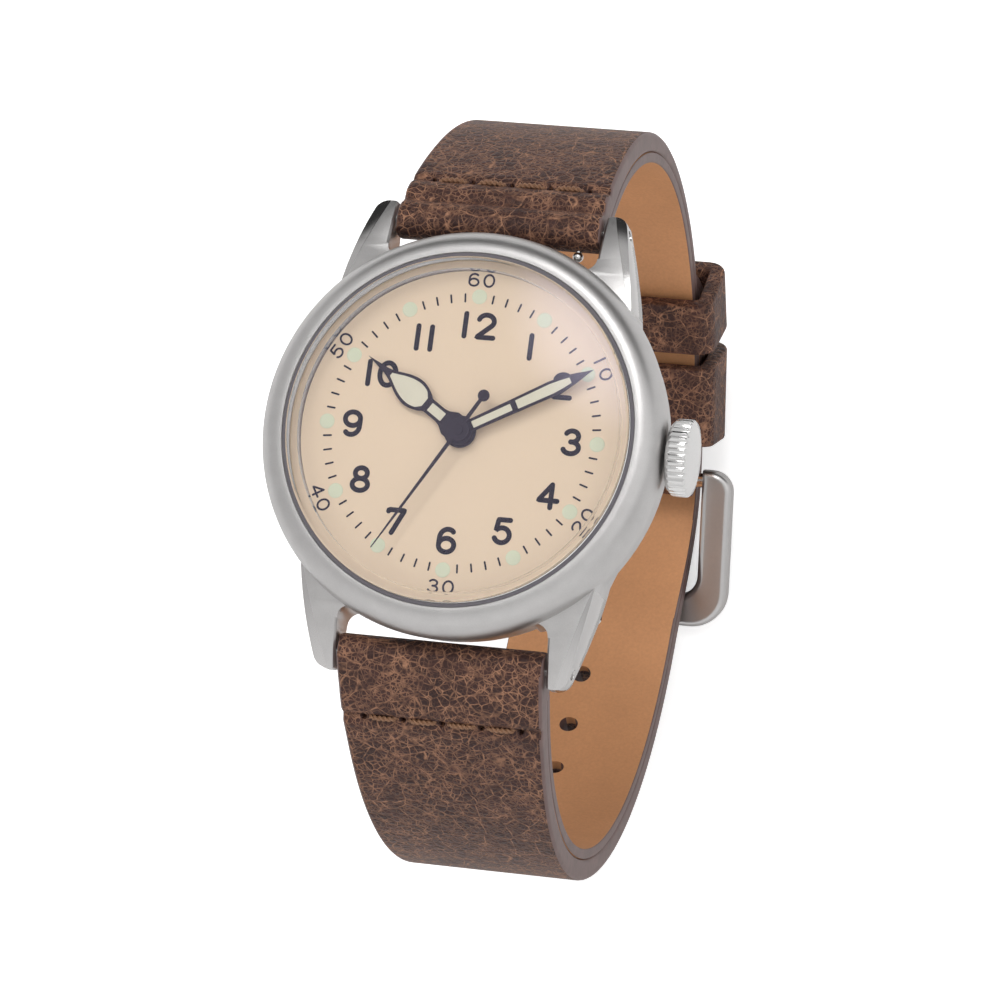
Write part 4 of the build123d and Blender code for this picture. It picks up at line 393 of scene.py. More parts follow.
def grid(name, columns, rows, place):
    """A grid whose points are placed by their column and row, each counted from 0."""
    bpy.ops.object.select_all(action="DESELECT")
    bpy.ops.mesh.primitive_grid_add(x_subdivisions=columns, y_subdivisions=rows, size=MM)
    piece = bpy.context.object
    piece.name = name
    mesh = piece.data
    for index, vertex in enumerate(mesh.vertices):
        vertex.co = place(index % (columns + 1), index // (columns + 1))
    return piece


def weld(piece, distance=WELD_DISTANCE, fill=False):
    edit(piece)
    bpy.ops.mesh.select_all(action="SELECT")
    bpy.ops.mesh.remove_doubles(threshold=distance)
    if fill:
        bpy.ops.mesh.select_all(action="DESELECT")
        bpy.ops.mesh.select_mode(type="EDGE")
        bpy.ops.mesh.select_non_manifold(extend=False)
        bpy.ops.mesh.edge_face_add()
        bpy.ops.mesh.select_all(action="SELECT")
    bpy.ops.mesh.normals_make_consistent(inside=False)
    leave_edit()
    return piece


def copies(piece, matrices):
    """Copies of a piece, each with its own mesh turned and moved by a matrix. The piece itself goes."""
    made = []
    for matrix in matrices:
        twin = piece.copy()
        twin.data = piece.data.copy()
        twin.data.transform(matrix)
        bpy.context.scene.collection.objects.link(twin)
        made.append(twin)
    bpy.data.objects.remove(piece)
    return made


def join(name, pieces):
    only(*pieces)
    if len(pieces) > 1:
        bpy.ops.object.join()
    piece = bpy.context.object
    piece.name = name
    return piece


# Materials

def add(tree, kind, **values):
    """Add a node. Values name its properties, or its inputs with their spaces as low lines."""
    node = tree.nodes.new(kind)
    for key, value in values.items():
        if hasattr(node, key):
            setattr(node, key, value)
        else:
            put(tree, node.inputs[key.replace("_", " ")], value)
    return node


def put(tree, socket, value):
    if isinstance(value, bpy.types.NodeSocket):
        tree.links.new(value, socket)
    elif hasattr(value, "__len__") and len(value) == 3 and socket.type == "RGBA":
        socket.default_value = (*value, 1)
    else:
        socket.default_value = value


def math_node(tree, operation, *values):
    node = tree.nodes.new("ShaderNodeMath")
    node.operation = operation
    for socket, value in zip(node.inputs, values):
        put(tree, socket, value)
    return node.outputs[0]


def mix_colour(tree, factor, first, second, blend="MIX"):
    node = tree.nodes.new("ShaderNodeMix")
    node.data_type = "RGBA"
    node.blend_type = blend
    put(tree, node.inputs["Factor"], factor)
    put(tree, node.inputs[FIRST_COLOUR], first)
    put(tree, node.inputs[SECOND_COLOUR], second)
    return node.outputs[MIXED_COLOUR]


def ramp(tree, value, low, high, start=0.0, end=1.0, ease="LINEAR"):
    """Spread a value from low to high over a range, and clamp it."""
    node = tree.nodes.new("ShaderNodeMapRange")
    node.interpolation_type = ease
    put(tree, node.inputs["Value"], value)
    put(tree, node.inputs["From Min"], low)
    put(tree, node.inputs["From Max"], high)
    put(tree, node.inputs["To Min"], start)
    put(tree, node.inputs["To Max"], end)
    return node.outputs[0]


def object_place(tree):
    return add(tree, "ShaderNodeTexCoord").outputs["Object"]


def noise(tree, place, feature, detail=2.0, roughness=0.5):
    """Noise with features of a real size in metres."""
    node = add(tree, "ShaderNodeTexNoise", Vector=place, Scale=1 / feature, Detail=detail,
               Roughness=roughness)
    return node.outputs[0]


def group(name, inputs, outputs):
    """A new shader node group with its sockets, and its first and last node."""
    tree = bpy.data.node_groups.new(name, "ShaderNodeTree")
    for socket, kind, value in inputs:
        made = tree.interface.new_socket(name=socket, in_out="INPUT", socket_type=kind)
        if value is not None:
            made.default_value = value
    for socket, kind in outputs:
        tree.interface.new_socket(name=socket, in_out="OUTPUT", socket_type=kind)
    return tree, tree.nodes.new("NodeGroupInput"), tree.nodes.new("NodeGroupOutput")


def use_group(tree, name, **values):
    node = tree.nodes.new("ShaderNodeGroup")
    node.node_tree = bpy.data.node_groups[name]
    for key, value in values.items():
        put(tree, node.inputs[key.replace("_", " ")], value)
    return node


def make_groups():
    """The effects that several materials share."""
    tree, start, end = group(
        "Grain",
        [("Vector", "NodeSocketVector", None), ("Feature", "NodeSocketFloat", 0.1 * MM),
         ("Contrast", "NodeSocketFloat", 0.2)],
        [("Height", "NodeSocketFloat"), ("Tone", "NodeSocketFloat")])
    scale = math_node(tree, "DIVIDE", 1.0, start.outputs["Feature"])
    fine = add(tree, "ShaderNodeTexNoise", Vector=start.outputs["Vector"], Scale=scale, Detail=2.0)
    wide_scale = math_node(tree, "MULTIPLY", scale, 0.06)
    wide = add(tree, "ShaderNodeTexNoise", Vector=start.outputs["Vector"], Scale=wide_scale, Detail=3.0)
    both = math_node(tree, "ADD", fine.outputs[0], wide.outputs[0])
    centred = math_node(tree, "SUBTRACT", both, 1.0)
    tone = math_node(tree, "MULTIPLY_ADD", centred, start.outputs["Contrast"], 1.0)
    tree.links.new(fine.outputs[0], end.inputs["Height"])
    tree.links.new(tone, end.inputs["Tone"])

    tree, start, end = group(
        "Crackle",
        [("Vector", "NodeSocketVector", None), ("Cell", "NodeSocketFloat", 1 * MM),
         ("Width", "NodeSocketFloat", 0.1), ("Wander", "NodeSocketFloat", 0.35)],
        [("Mask", "NodeSocketFloat"), ("Pillow", "NodeSocketFloat"), ("Cell tone", "NodeSocketFloat")])
    scale = math_node(tree, "DIVIDE", 1.0, start.outputs["Cell"])
    bend = add(tree, "ShaderNodeTexNoise", Vector=start.outputs["Vector"], Scale=scale, Detail=4.0)
    centred = add(tree, "ShaderNodeVectorMath", operation="SUBTRACT")
    put(tree, centred.inputs[0], bend.outputs["Color"])
    put(tree, centred.inputs[1], (0.5, 0.5, 0.5))
    reach = math_node(tree, "MULTIPLY", start.outputs["Cell"], start.outputs["Wander"])
    push = add(tree, "ShaderNodeVectorMath", operation="SCALE")
    put(tree, push.inputs[0], centred.outputs[0])
    put(tree, push.inputs["Scale"], reach)
    moved = add(tree, "ShaderNodeVectorMath", operation="ADD")
    put(tree, moved.inputs[0], start.outputs["Vector"])
    put(tree, moved.inputs[1], push.outputs[0])
    cells = add(tree, "ShaderNodeTexVoronoi", feature="DISTANCE_TO_EDGE", Vector=moved.outputs[0],
                Scale=scale)
    mask = ramp(tree, cells.outputs["Distance"], 0.0, start.outputs["Width"], 1.0, 0.0, "SMOOTHSTEP")
    pillow = ramp(tree, cells.outputs["Distance"], 0.0, 0.4, ease="SMOOTHSTEP")
    plain = add(tree, "ShaderNodeTexVoronoi", feature="F1", Vector=moved.outputs[0], Scale=scale)
    tone = add(tree, "ShaderNodeSeparateColor")
    put(tree, tone.inputs[0], plain.outputs["Color"])
    tree.links.new(mask, end.inputs["Mask"])
    tree.links.new(pillow, end.inputs["Pillow"])
    tree.links.new(tone.outputs[0], end.inputs["Cell tone"])


def material(name, **sockets):
    """A material with a Principled shader, whose inputs are set by name."""
    made = bpy.data.materials.new(name)
    made.use_nodes = True
    shader = made.node_tree.nodes["Principled BSDF"]
    for key, value in sockets.items():
        put(made.node_tree, shader.inputs[key.replace("_", " ")], value)
    return made, made.node_tree, shader


def bump(tree, shader, height, depth, strength=1.0):
    node = add(tree, "ShaderNodeBump", Height=height, Distance=depth, Strength=strength)
    tree.links.new(node.outputs[0], shader.inputs["Normal"])


def grained(name, base, feature, contrast, depth, **sockets):
    """A material of one colour with a fine grain in its tone and its surface."""
    made, tree, shader = material(name, **sockets)
    grain = use_group(tree, "Grain", Vector=object_place(tree), Feature=feature, Contrast=contrast)
    tone = mix_colour(tree, 1.0, base, grain.outputs["Tone"], "MULTIPLY")
    tree.links.new(tone, shader.inputs["Base Color"])
    bump(tree, shader, grain.outputs["Height"], depth)
    return made


def lug_material(settings):
    """Blasted steel with a polished facet along the outer edge of each lug, widest at its tip."""
    made, tree, shader = material("Blasted lugs", Metallic=1.0)
    place = object_place(tree)
    grain = use_group(tree, "Grain", Vector=place, Feature=settings.grain, Contrast=0.18)
    parts = add(tree, "ShaderNodeSeparateXYZ", Vector=place)
    across = math_node(tree, "ABSOLUTE", parts.outputs[0])
    along = math_node(tree, "SUBTRACT", math_node(tree, "ABSOLUTE", parts.outputs[1]), settings.facet_root)
    past = math_node(tree, "MULTIPLY_ADD", along, settings.facet_slope, across)
    edge = settings.facet_start
    facet = math_node(tree, "MULTIPLY", ramp(tree, past, edge, edge + settings.edge_bevel / 2),
                      ramp(tree, along, 0, 2 * settings.edge_bevel))
    blasted = math_node(tree, "SUBTRACT", 1.0, facet)
    tone = mix_colour(tree, blasted, (1, 1, 1), grain.outputs["Tone"])
    tree.links.new(mix_colour(tree, 1.0, settings.steel, tone, "MULTIPLY"), shader.inputs["Base Color"])
    roughness = ramp(tree, facet, 0, 1, settings.steel_roughness, settings.polished_roughness)
    tree.links.new(roughness, shader.inputs["Roughness"])
    bump(tree, shader, math_node(tree, "MULTIPLY", grain.outputs["Height"], blasted), 0.012 * MM)
    return made


def leather_material(settings):
    """Oiled leather: dark, with pale creases in nets of three sizes that come and go."""
    made, tree, shader = material("Crackled leather", Specular_IOR_Level=0.25)
    place = object_place(tree)
    wide = noise(tree, place, 8 * MM, detail=3.0, roughness=0.55)
    patch = noise(tree, place, 2.8 * MM, detail=4.0, roughness=0.6)
    breaks = noise(tree, place, 0.8 * MM, detail=3.0, roughness=0.6)
    pores = noise(tree, place, 0.13 * MM, detail=2.0)
    fine = use_group(tree, "Crackle", Vector=place, **FINE_NET)
    middle = use_group(tree, "Crackle", Vector=place, **MIDDLE_NET)
    large = use_group(tree, "Crackle", Vector=place, **LARGE_NET)
    fine_part = math_node(tree, "MULTIPLY", fine.outputs["Mask"], ramp(tree, patch, 0.4, 0.62, 0.15, 0.75))
    middle_part = math_node(tree, "MULTIPLY", middle.outputs["Mask"], ramp(tree, wide, 0.4, 0.58, 0.35, 1.0))
    large_part = math_node(tree, "MULTIPLY", large.outputs["Mask"], ramp(tree, wide, 0.4, 0.6, 1.0, 0.7))
    nets = math_node(tree, "MAXIMUM", math_node(tree, "MAXIMUM", fine_part, middle_part), large_part)
    veins = math_node(tree, "MULTIPLY", nets, ramp(tree, breaks, 0.36, 0.6, 0.2, 1.0))
    base = mix_colour(tree, ramp(tree, patch, 0.35, 0.68), settings.leather, settings.leather_light)
    shade = ramp(tree, middle.outputs["Cell tone"], 0, 1, 0.8, 1.12)
    base = mix_colour(tree, 1.0, base, shade, "MULTIPLY")
    tree.links.new(mix_colour(tree, math_node(tree, "MULTIPLY", veins, 0.9), base, settings.vein),
                   shader.inputs["Base Color"])
    pillows = math_node(tree, "MULTIPLY_ADD", middle.outputs["Pillow"], 0.7,
                        math_node(tree, "MULTIPLY", fine.outputs["Pillow"], 0.35))
    creased = math_node(tree, "MULTIPLY_ADD", nets, -0.45, pillows)
    bump(tree, shader, math_node(tree, "MULTIPLY_ADD", pores, 0.25, creased), 0.055 * MM)
    dull = math_node(tree, "MULTIPLY_ADD", veins, 0.15, ramp(tree, pores, 0.3, 0.7, 0.42, 0.56))
    tree.links.new(dull, shader.inputs["Roughness"])
    return made


def lining_material(settings):
    """Smooth tan lining leather, faintly mottled and flecked; its tan is partly painted light, set a little
    lighter than the leather's own colour.
    """
    made, tree, shader = material("Tan lining", Roughness=0.6, Specular_IOR_Level=0.35)
    place = object_place(tree)
    mottle = noise(tree, place, 6 * MM, detail=4.0, roughness=0.55)
    fine = noise(tree, place, 0.3 * MM, detail=3.0)
    # settings.lining holds the tan with painted light in it: it is lighter than the lining's own colour
    deep = tuple(0.92 * value for value in settings.lining)
    base = mix_colour(tree, ramp(tree, mottle, 0.35, 0.68), deep, settings.lining)
    fleck = ramp(tree, fine, 0.3, 0.7, 0.94, 1.05)
    tree.links.new(mix_colour(tree, 1.0, base, fleck, "MULTIPLY"), shader.inputs["Base Color"])
    bump(tree, shader, fine, 0.015 * MM)
    return made


def edge_material(settings):
    """The paint on the strap's cut edges, a little uneven."""
    made, tree, shader = material("Painted edge", Roughness=0.45)
    place = object_place(tree)
    wide = noise(tree, place, 1.5 * MM, detail=3.0)
    dark = tuple(0.72 * value for value in settings.edge)
    tree.links.new(mix_colour(tree, ramp(tree, wide, 0.3, 0.7), dark, settings.edge),
                   shader.inputs["Base Color"])
    bump(tree, shader, noise(tree, place, 0.5 * MM, detail=2.0), 0.02 * MM)
    return made


def crystal_material():
    """Clear crystal that lets the lamps through to the dial."""
    made, tree, shader = material("Clear crystal", Base_Color=(1, 1, 1), Roughness=0.0, IOR=1.5,
                                  Transmission_Weight=1.0, Specular_Tint=(0.78, 0.74, 1.0),
                                  Specular_IOR_Level=0.13)
    clear = tree.nodes.new("ShaderNodeBsdfTransparent")
    rays = tree.nodes.new("ShaderNodeLightPath")
    mix = tree.nodes.new("ShaderNodeMixShader")
    output = tree.nodes["Material Output"]
    tree.links.new(rays.outputs["Is Shadow Ray"], mix.inputs[0])
    tree.links.new(shader.outputs[0], mix.inputs[1])
    tree.links.new(clear.outputs[0], mix.inputs[2])
    tree.links.new(mix.outputs[0], output.inputs["Surface"])
    return made


def thread_material(settings):
    """Waxed thread, dark between its fibres."""
    made, tree, shader = material("Waxed thread", Roughness=0.6)
    place = object_place(tree)
    strands = noise(tree, place, 0.12 * MM, detail=3.0)
    dark = tuple(0.6 * value for value in settings.thread)
    tree.links.new(mix_colour(tree, ramp(tree, strands, 0.35, 0.65), dark, settings.thread),
                   shader.inputs["Base Color"])
    bump(tree, shader, strands, 0.03 * MM)
    return made


def make_materials():
    scene = bpy.context.scene
    case, face, strap = scene.watch_case, scene.watch_dial, scene.watch_strap
    brass = linear(196, 160, 92)
    nickel = linear(188, 184, 172)
    metal = {"Metallic": 1.0}
    made = {
        "case_steel": grained("Blasted steel", case.steel, case.grain, 0.16, 0.012 * MM,
                              Roughness=case.steel_roughness, **metal),
        "lug_steel": lug_material(case),
        "polished_steel": grained("Polished steel", case.polished, 0.6 * MM, 0.04, 0.001 * MM,
                                  Roughness=case.polished_roughness, **metal),
        "satin_steel": grained("Satin steel", case.steel, 0.3 * MM, 0.08, 0.003 * MM,
                               Roughness=case.satin_roughness, **metal),
        "crystal_clear": crystal_material(),
        "seal_rubber": grained("Seal rubber", case.gasket, 0.3 * MM, 0.1, 0.01 * MM, Roughness=0.45),
        "seal_nylon": grained("Seal nylon", case.gasket, 0.3 * MM, 0.1, 0.005 * MM, Roughness=0.35),
        "dial_cream": grained("Cream dial", face.face, 0.35 * MM, 0.03, 0.004 * MM, Roughness=0.55),
        "holder_plastic": grained("Holder plastic", linear(214, 212, 205), 0.5 * MM, 0.05, 0.01 * MM,
                                  Roughness=0.4),
        "plate_nickel": grained("Nickel plate", nickel, 0.2 * MM, 0.12, 0.004 * MM, Roughness=0.3, **metal),
        "jewel_ruby": grained("Ruby", linear(176, 30, 62), 0.3 * MM, 0.2, 0.001 * MM, Roughness=0.08),
        "blued_screw": grained("Blued steel", linear(38, 52, 110), 0.2 * MM, 0.15, 0.002 * MM,
                               Roughness=0.2, **metal),
        "movement_steel": grained("Movement steel", linear(170, 170, 168), 0.15 * MM, 0.1, 0.002 * MM,
                                  Roughness=0.25, **metal),
        "train_brass": grained("Gilt brass", brass, 0.15 * MM, 0.1, 0.002 * MM, Roughness=0.28, **metal),
        "hand_dark": grained("Dark hands", face.hand, 0.25 * MM, 0.12, 0.002 * MM, Roughness=0.32,
                             Specular_IOR_Level=0.2),
        "lume": grained("Hand lume", face.hand_lume, 0.12 * MM, 0.12, 0.012 * MM, Roughness=0.8),
        "strap_brown": leather_material(strap),
        "strap_lining": lining_material(strap),
        "thread": thread_material(strap),
        "edge": edge_material(strap),
        "dial_lume": grained("Dial lume", face.lume, 0.15 * MM, 0.06, 0.008 * MM, Roughness=0.85),
        "print": grained("Dial print", face.print_ink, 0.2 * MM, 0.2, 0.003 * MM, Roughness=0.4,
                         Specular_IOR_Level=0.1),
        "minute_print": grained("Minute print", face.outer_ink, 0.2 * MM, 0.2, 0.003 * MM,
                                Roughness=0.4, Specular_IOR_Level=0.1),
    }
    return made


def node_slots():
    """The material slot that the record gives each node."""
    return {entry["node"]: entry["material_slot"] for entry in frame["record"]["subparts"]}


materials = {}


# Case, bezel and crystal

class WATCH_OT_finishes(bpy.types.Operator):
    """Make every material and put the record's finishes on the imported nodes"""
    bl_idname = "watch.finishes"
    bl_label = "Finishes"

    def execute(self, context):
        make_groups()
        materials.update(make_materials())
        for node, slot in node_slots().items():
            mesh = nodes[node].data
            mesh.materials.clear()
            mesh.materials.append(materials[slot])
        return {"FINISHED"}


class WATCH_OT_case(bpy.types.Operator):
    """Soften the edges of the middle case with its four lugs"""
    bl_idname = "watch.case"
    bl_label = "Middle case"

    def execute(self, context):
        settings = context.scene.watch_case
        piece = merged_copy("middle_case", "mid_case", settings.edge_bevel)
        finish_piece(piece, materials["lug_steel"], "root", "case_steel", ["mid_case"])
        back = merged_copy("screw_back", "case_back")
        finish_piece(back, materials["case_steel"], "root", "case_steel", ["case_back"])
        return {"FINISHED"}


class WATCH_OT_bezel(bpy.types.Operator):
    """Turn the convex bezel with its lip under the crystal"""
    bl_idname = "watch.bezel"
    bl_label = "Bezel"

    def execute(self, context):
        s = context.scene.watch_case
        skirt_top = s.bezel_bottom + s.bezel_skirt
        lip_top = s.bezel_lip_bottom + s.bezel_lip_height
        outline = [(s.bezel_bore, lip_top), (s.bezel_lip, lip_top), (s.bezel_lip, s.bezel_lip_bottom),
                   (s.bezel_neck, s.bezel_lip_bottom), (s.bezel_neck, s.bezel_bottom),
                   (s.bezel_radius - s.edge_bevel, s.bezel_bottom),
                   (s.bezel_radius, s.bezel_bottom + s.edge_bevel)]
        steps = 24
        for step in range(steps + 1):
            turn = step / steps * QUARTER_TURN
            outline.append((s.bezel_top_radius + (s.bezel_radius - s.bezel_top_radius) * math.cos(turn),
                            skirt_top + (s.bezel_top - skirt_top) * math.sin(turn)))
        outline.append((s.bezel_bore + s.edge_bevel / 2, s.bezel_top))
        outline.append((s.bezel_bore, s.bezel_top - s.edge_bevel / 2))
        piece = turned("convex_bezel", outline)
        finish_piece(piece, materials["case_steel"], "root", "case_steel", ["bezel"])
        return {"FINISHED"}


def dome(radius, foot, crown, steps, smallest):
    """Points from the edge of a shallow dome to near its middle."""
    ball = (radius ** 2 + crown ** 2) / (2 * crown)
    points = []
    for step in range(steps + 1):
        distance = radius + (smallest - radius) * step / steps
        points.append((distance, foot + crown - ball + math.sqrt(ball ** 2 - distance ** 2)))
    return points


class WATCH_OT_crystal(bpy.types.Operator):
    """Turn the boxed, domed crystal as one closed shell"""
    bl_idname = "watch.crystal"
    bl_label = "Crystal"

    def execute(self, context):
        s = context.scene.watch_case
        smallest = 0.25 * MM
        shoulder = s.crystal_base + s.crystal_side
        inner = s.crystal_radius - s.crystal_wall
        steps = 28
        well = dome(inner, shoulder - s.crystal_wall, s.crystal_crown, steps, smallest)
        outer = dome(s.crystal_radius - s.crystal_edge, shoulder, s.crystal_crown, steps, smallest)
        outline = list(reversed(well))
        outline += [(inner, s.crystal_base), (s.crystal_radius, s.crystal_base)]
        arc_steps = 6
        for step in range(arc_steps):
            turn = step / arc_steps * QUARTER_TURN
            outline.append((s.crystal_radius - s.crystal_edge * (1 - math.cos(turn)),
                            shoulder - s.crystal_edge * (1 - math.sin(turn))))
        outline += outer
        piece = turned("domed_crystal", outline, closed=False)
        finish_piece(piece, materials["crystal_clear"], "root", "crystal_clear", ["crystal"],
                     CRYSTAL_SMOOTH_ANGLE)
        return {"FINISHED"}


# Dial print

def arc(x, y, half_width, half_height, start, end, steps=20):
    """Points of an elliptical arc between two angles in degrees."""
    points = []
    for step in range(steps + 1):
        turn = math.radians(start + (end - start) * step / steps)
        points.append((x + half_width * math.cos(turn), y + half_height * math.sin(turn)))
    return points


def glyphs():
    """The strokes of each digit, on a centre line that is one high and stands on zero."""
    six = [[(0.25, 0.9)] + arc(0.02, 0.62, 0.355, 0.38, 58, 180) + [(-0.34, 0.31)],
           arc(0.0, 0.3, 0.34, 0.3, 0, 360, 32)]
    nine = [[(-x, 1 - y) for x, y in stroke] for stroke in six]
    return {
        "0": [arc(0, 0.5, 0.36, 0.5, 0, 360, 36)],
        "1": [[(0, 0), (0, 1)]],
        "2": [arc(0, 0.715, 0.34, 0.285, 165, -38) + [(-0.36, 0.0), (0.37, 0.0)]],
        "3": [arc(0, 0.755, 0.29, 0.245, 150, -90), arc(0, 0.26, 0.345, 0.26, 95, -160)],
        "4": [[(0.14, 1), (-0.4, 0.3), (0.42, 0.3)], [(0.14, 1), (0.14, 0)]],
        "5": [[(0.31, 1), (-0.2, 1), (-0.27, 0.53)] + arc(0, 0.325, 0.34, 0.325, 142, -155)],
        "6": six,
        "7": [[(-0.36, 0.93), (-0.35, 1), (0.35, 1), (-0.12, 0)]],
        "8": [arc(0, 0.765, 0.27, 0.235, 0, 360, 28), arc(0, 0.265, 0.345, 0.265, 0, 360, 32)],
        "9": nine,
    }


def smooth_corners(points, closed):
    """Unit directions at each point of a stroke, halfway between its neighbours."""
    made = []
    last = len(points) - 1
    for index, point in enumerate(points):
        before = points[index - 1] if index else (points[last - 1] if closed else point)
        after = points[index + 1] if index < last else (points[1] if closed else point)
        run = Vector((after[0] - before[0], after[1] - before[1]))
        made.append(run.normalized())
    return made


def stroke(name, points, half, height):
    """A flat ribbon along a line, with round ends, at a height over the dial."""
    closed = (Vector(points[0]) - Vector(points[-1])).length < half / 10
    headings = smooth_corners(points, closed)
    stations = []
    if not closed:
        cap_steps = 6
        for step in range(cap_steps):
            turn = step / cap_steps * QUARTER_TURN
            back = half * math.cos(turn)
            stations.append((points[0][0] - headings[0].x * back, points[0][1] - headings[0].y * back,
                             headings[0], half * math.sin(turn)))
    for point, heading in zip(points, headings):
        stations.append((point[0], point[1], heading, half))
    if not closed:
        for step in reversed(range(cap_steps)):
            turn = step / cap_steps * QUARTER_TURN
            ahead = half * math.cos(turn)
            stations.append((points[-1][0] + headings[-1].x * ahead,
                             points[-1][1] + headings[-1].y * ahead, headings[-1],
                             half * math.sin(turn)))

    def place(column, row):
        x, y, heading, reach = stations[row]
        side = reach * (1 - 2 * column)
        return (x - heading.y * side, y + heading.x * side, height)

    return grid(name, 1, len(stations) - 1, place)


def numeral(text, height, thickness, spacing, widen, level):
    """A number drawn upright round the origin, as one flat mesh."""
    tall = height - thickness
    pieces = []
    for index, digit in enumerate(text):
        shift = (index - (len(text) - 1) / 2) * spacing
        for strokes in glyphs()[digit]:
            points = [(shift + x * tall * widen, (y - 0.5) * tall) for x, y in strokes]
            lift = level * (1 + 0.05 * len(pieces))
            pieces.append(stroke("stroke", even_run(points, thickness), thickness / 2, lift))
    return weld_flat(join("numeral_" + text, pieces))


def even_run(points, step):
    """Add points next to sharp corners, so that a ribbon stays wide there."""
    made = [points[0]]
    for near, far in zip(points, points[1:]):
        run = Vector(far) - Vector(near)
        if run.length > step:
            made.append(tuple(Vector(near) + run.normalized() * step / 8))
            made.append(tuple(Vector(far) - run.normalized() * step / 8))
        made.append(far)
    return made


def weld_flat(piece):
    """Join up a flat print, and turn it to face up."""
    edit(piece)
    bpy.ops.mesh.select_all(action="SELECT")
    bpy.ops.mesh.remove_doubles(threshold=PRINT_WELD_DISTANCE)
    bpy.ops.mesh.normals_make_consistent(inside=False)
    leave_edit()
    if sum(face.normal.z for face in piece.data.polygons) < 0:
        piece.data.flip_normals()
    return piece


def round_dial(angle, distance, turn, height):
    """Where a mark goes: an angle clockwise from 12 o'clock, a distance and its own turn."""
    place = Matrix.Translation((distance * math.sin(angle), distance * math.cos(angle), height))
    return place @ Matrix.Rotation(turn, 4, "Z")


class WATCH_OT_numerals(bpy.types.Operator):
    """Print the hour numerals and the small minute numerals"""
    bl_idname = "watch.numerals"
    bl_label = "Numerals"

    def execute(self, context):
        s = context.scene.watch_dial
        hours = []
        for hour in range(1, HOURS + 1):
            text = str(hour)
            piece = numeral(text, s.numeral_height, s.numeral_stroke,
                            s.numeral_height * SPACING_SHARES.get(text, 0), 1.0, s.film)
            angle = hour * FULL_TURN / HOURS
            out = s.numeral_radius + s.numeral_spread * abs(math.sin(angle)) ** 4
            piece.data.transform(round_dial(angle, out, 0, s.dial_top))
            across, up = NUDGE_SHARES.get(hour, (0, 0))
            piece.data.transform(Matrix.Translation((across * s.numeral_height, up * s.numeral_height, 0)))
            hours.append(piece)
        finish_piece(join("hour_numerals", hours), materials["print"], "root", angle=0)
        minutes = []
        for minute in range(10, MINUTES + 1, 10):
            angle = minute * FULL_TURN / MINUTES
            inward = 20 <= minute <= 40
            piece = numeral(str(minute), s.minute_height, s.minute_stroke, s.minute_height * 1.1, 1.15,
                            s.film)
            turn = math.pi - angle if inward else -angle
            piece.data.transform(round_dial(angle, s.minute_radius, turn, s.dial_top))
            minutes.append(piece)
        finish_piece(join("minute_numerals", minutes), materials["minute_print"], "root", angle=0)
        return {"FINISHED"}


class WATCH_OT_track(bpy.types.Operator):
    """Print the minute ticks and set the luminous dots"""
    bl_idname = "watch.track"
    bl_label = "Minute track"

    def execute(self, context):
        s = context.scene.watch_dial
        tick = stroke("tick", [(0, -s.tick_length / 2), (0, s.tick_length / 2)], s.tick_width / 2, s.film)
        weld_flat(tick)
        ticks, dots = [], []
        for minute in range(MINUTES):
            angle = minute * FULL_TURN / MINUTES
            if minute % (MINUTES // HOURS):
                ticks.append(round_dial(angle, s.tick_radius, -angle, s.dial_top))
            else:
                dots.append(round_dial(angle, s.dot_ring, 0, s.dial_top))
        finish_piece(join("minute_ticks", copies(tick, ticks)), materials["print"], "root", angle=0)
        outline = [(s.dot_radius * across, s.dot_height * up) for across, up in DOT_SHARES]
        dot = turned("dot", outline, 32, closed=False)
        finish_piece(join("luminous_dots", copies(dot, dots)), materials["dial_lume"], "root")
        return {"FINISHED"}


class WATCH_OT_hands(bpy.types.Operator):
    """Soften the edges of the three hands"""
    bl_idname = "watch.hands"
    bl_label = "Hands"

    def execute(self, context):
        bodies = {"hour_hand": "hour_pipe", "minute_hand": "centre_arbor", "seconds_hand": "seconds_arbor"}
        for node, body in bodies.items():
            piece = merged_copy(node + "_softened", node, context.scene.watch_dial.hand_bevel)
            finish_piece(piece, materials["hand_dark"], body, "hand_dark", [node])
        return {"FINISHED"}


# Crown

class WATCH_OT_crown(bpy.types.Operator):
    """Polish the fluted crown"""
    bl_idname = "watch.crown"
    bl_label = "Crown"

    def execute(self, context):
        piece = merged_copy("fluted_crown", "crown", context.scene.watch_case.crown_bevel)
        finish_piece(piece, materials["polished_steel"], "winding_turn", "polished_steel", ["crown"])
        return {"FINISHED"}


# Strap

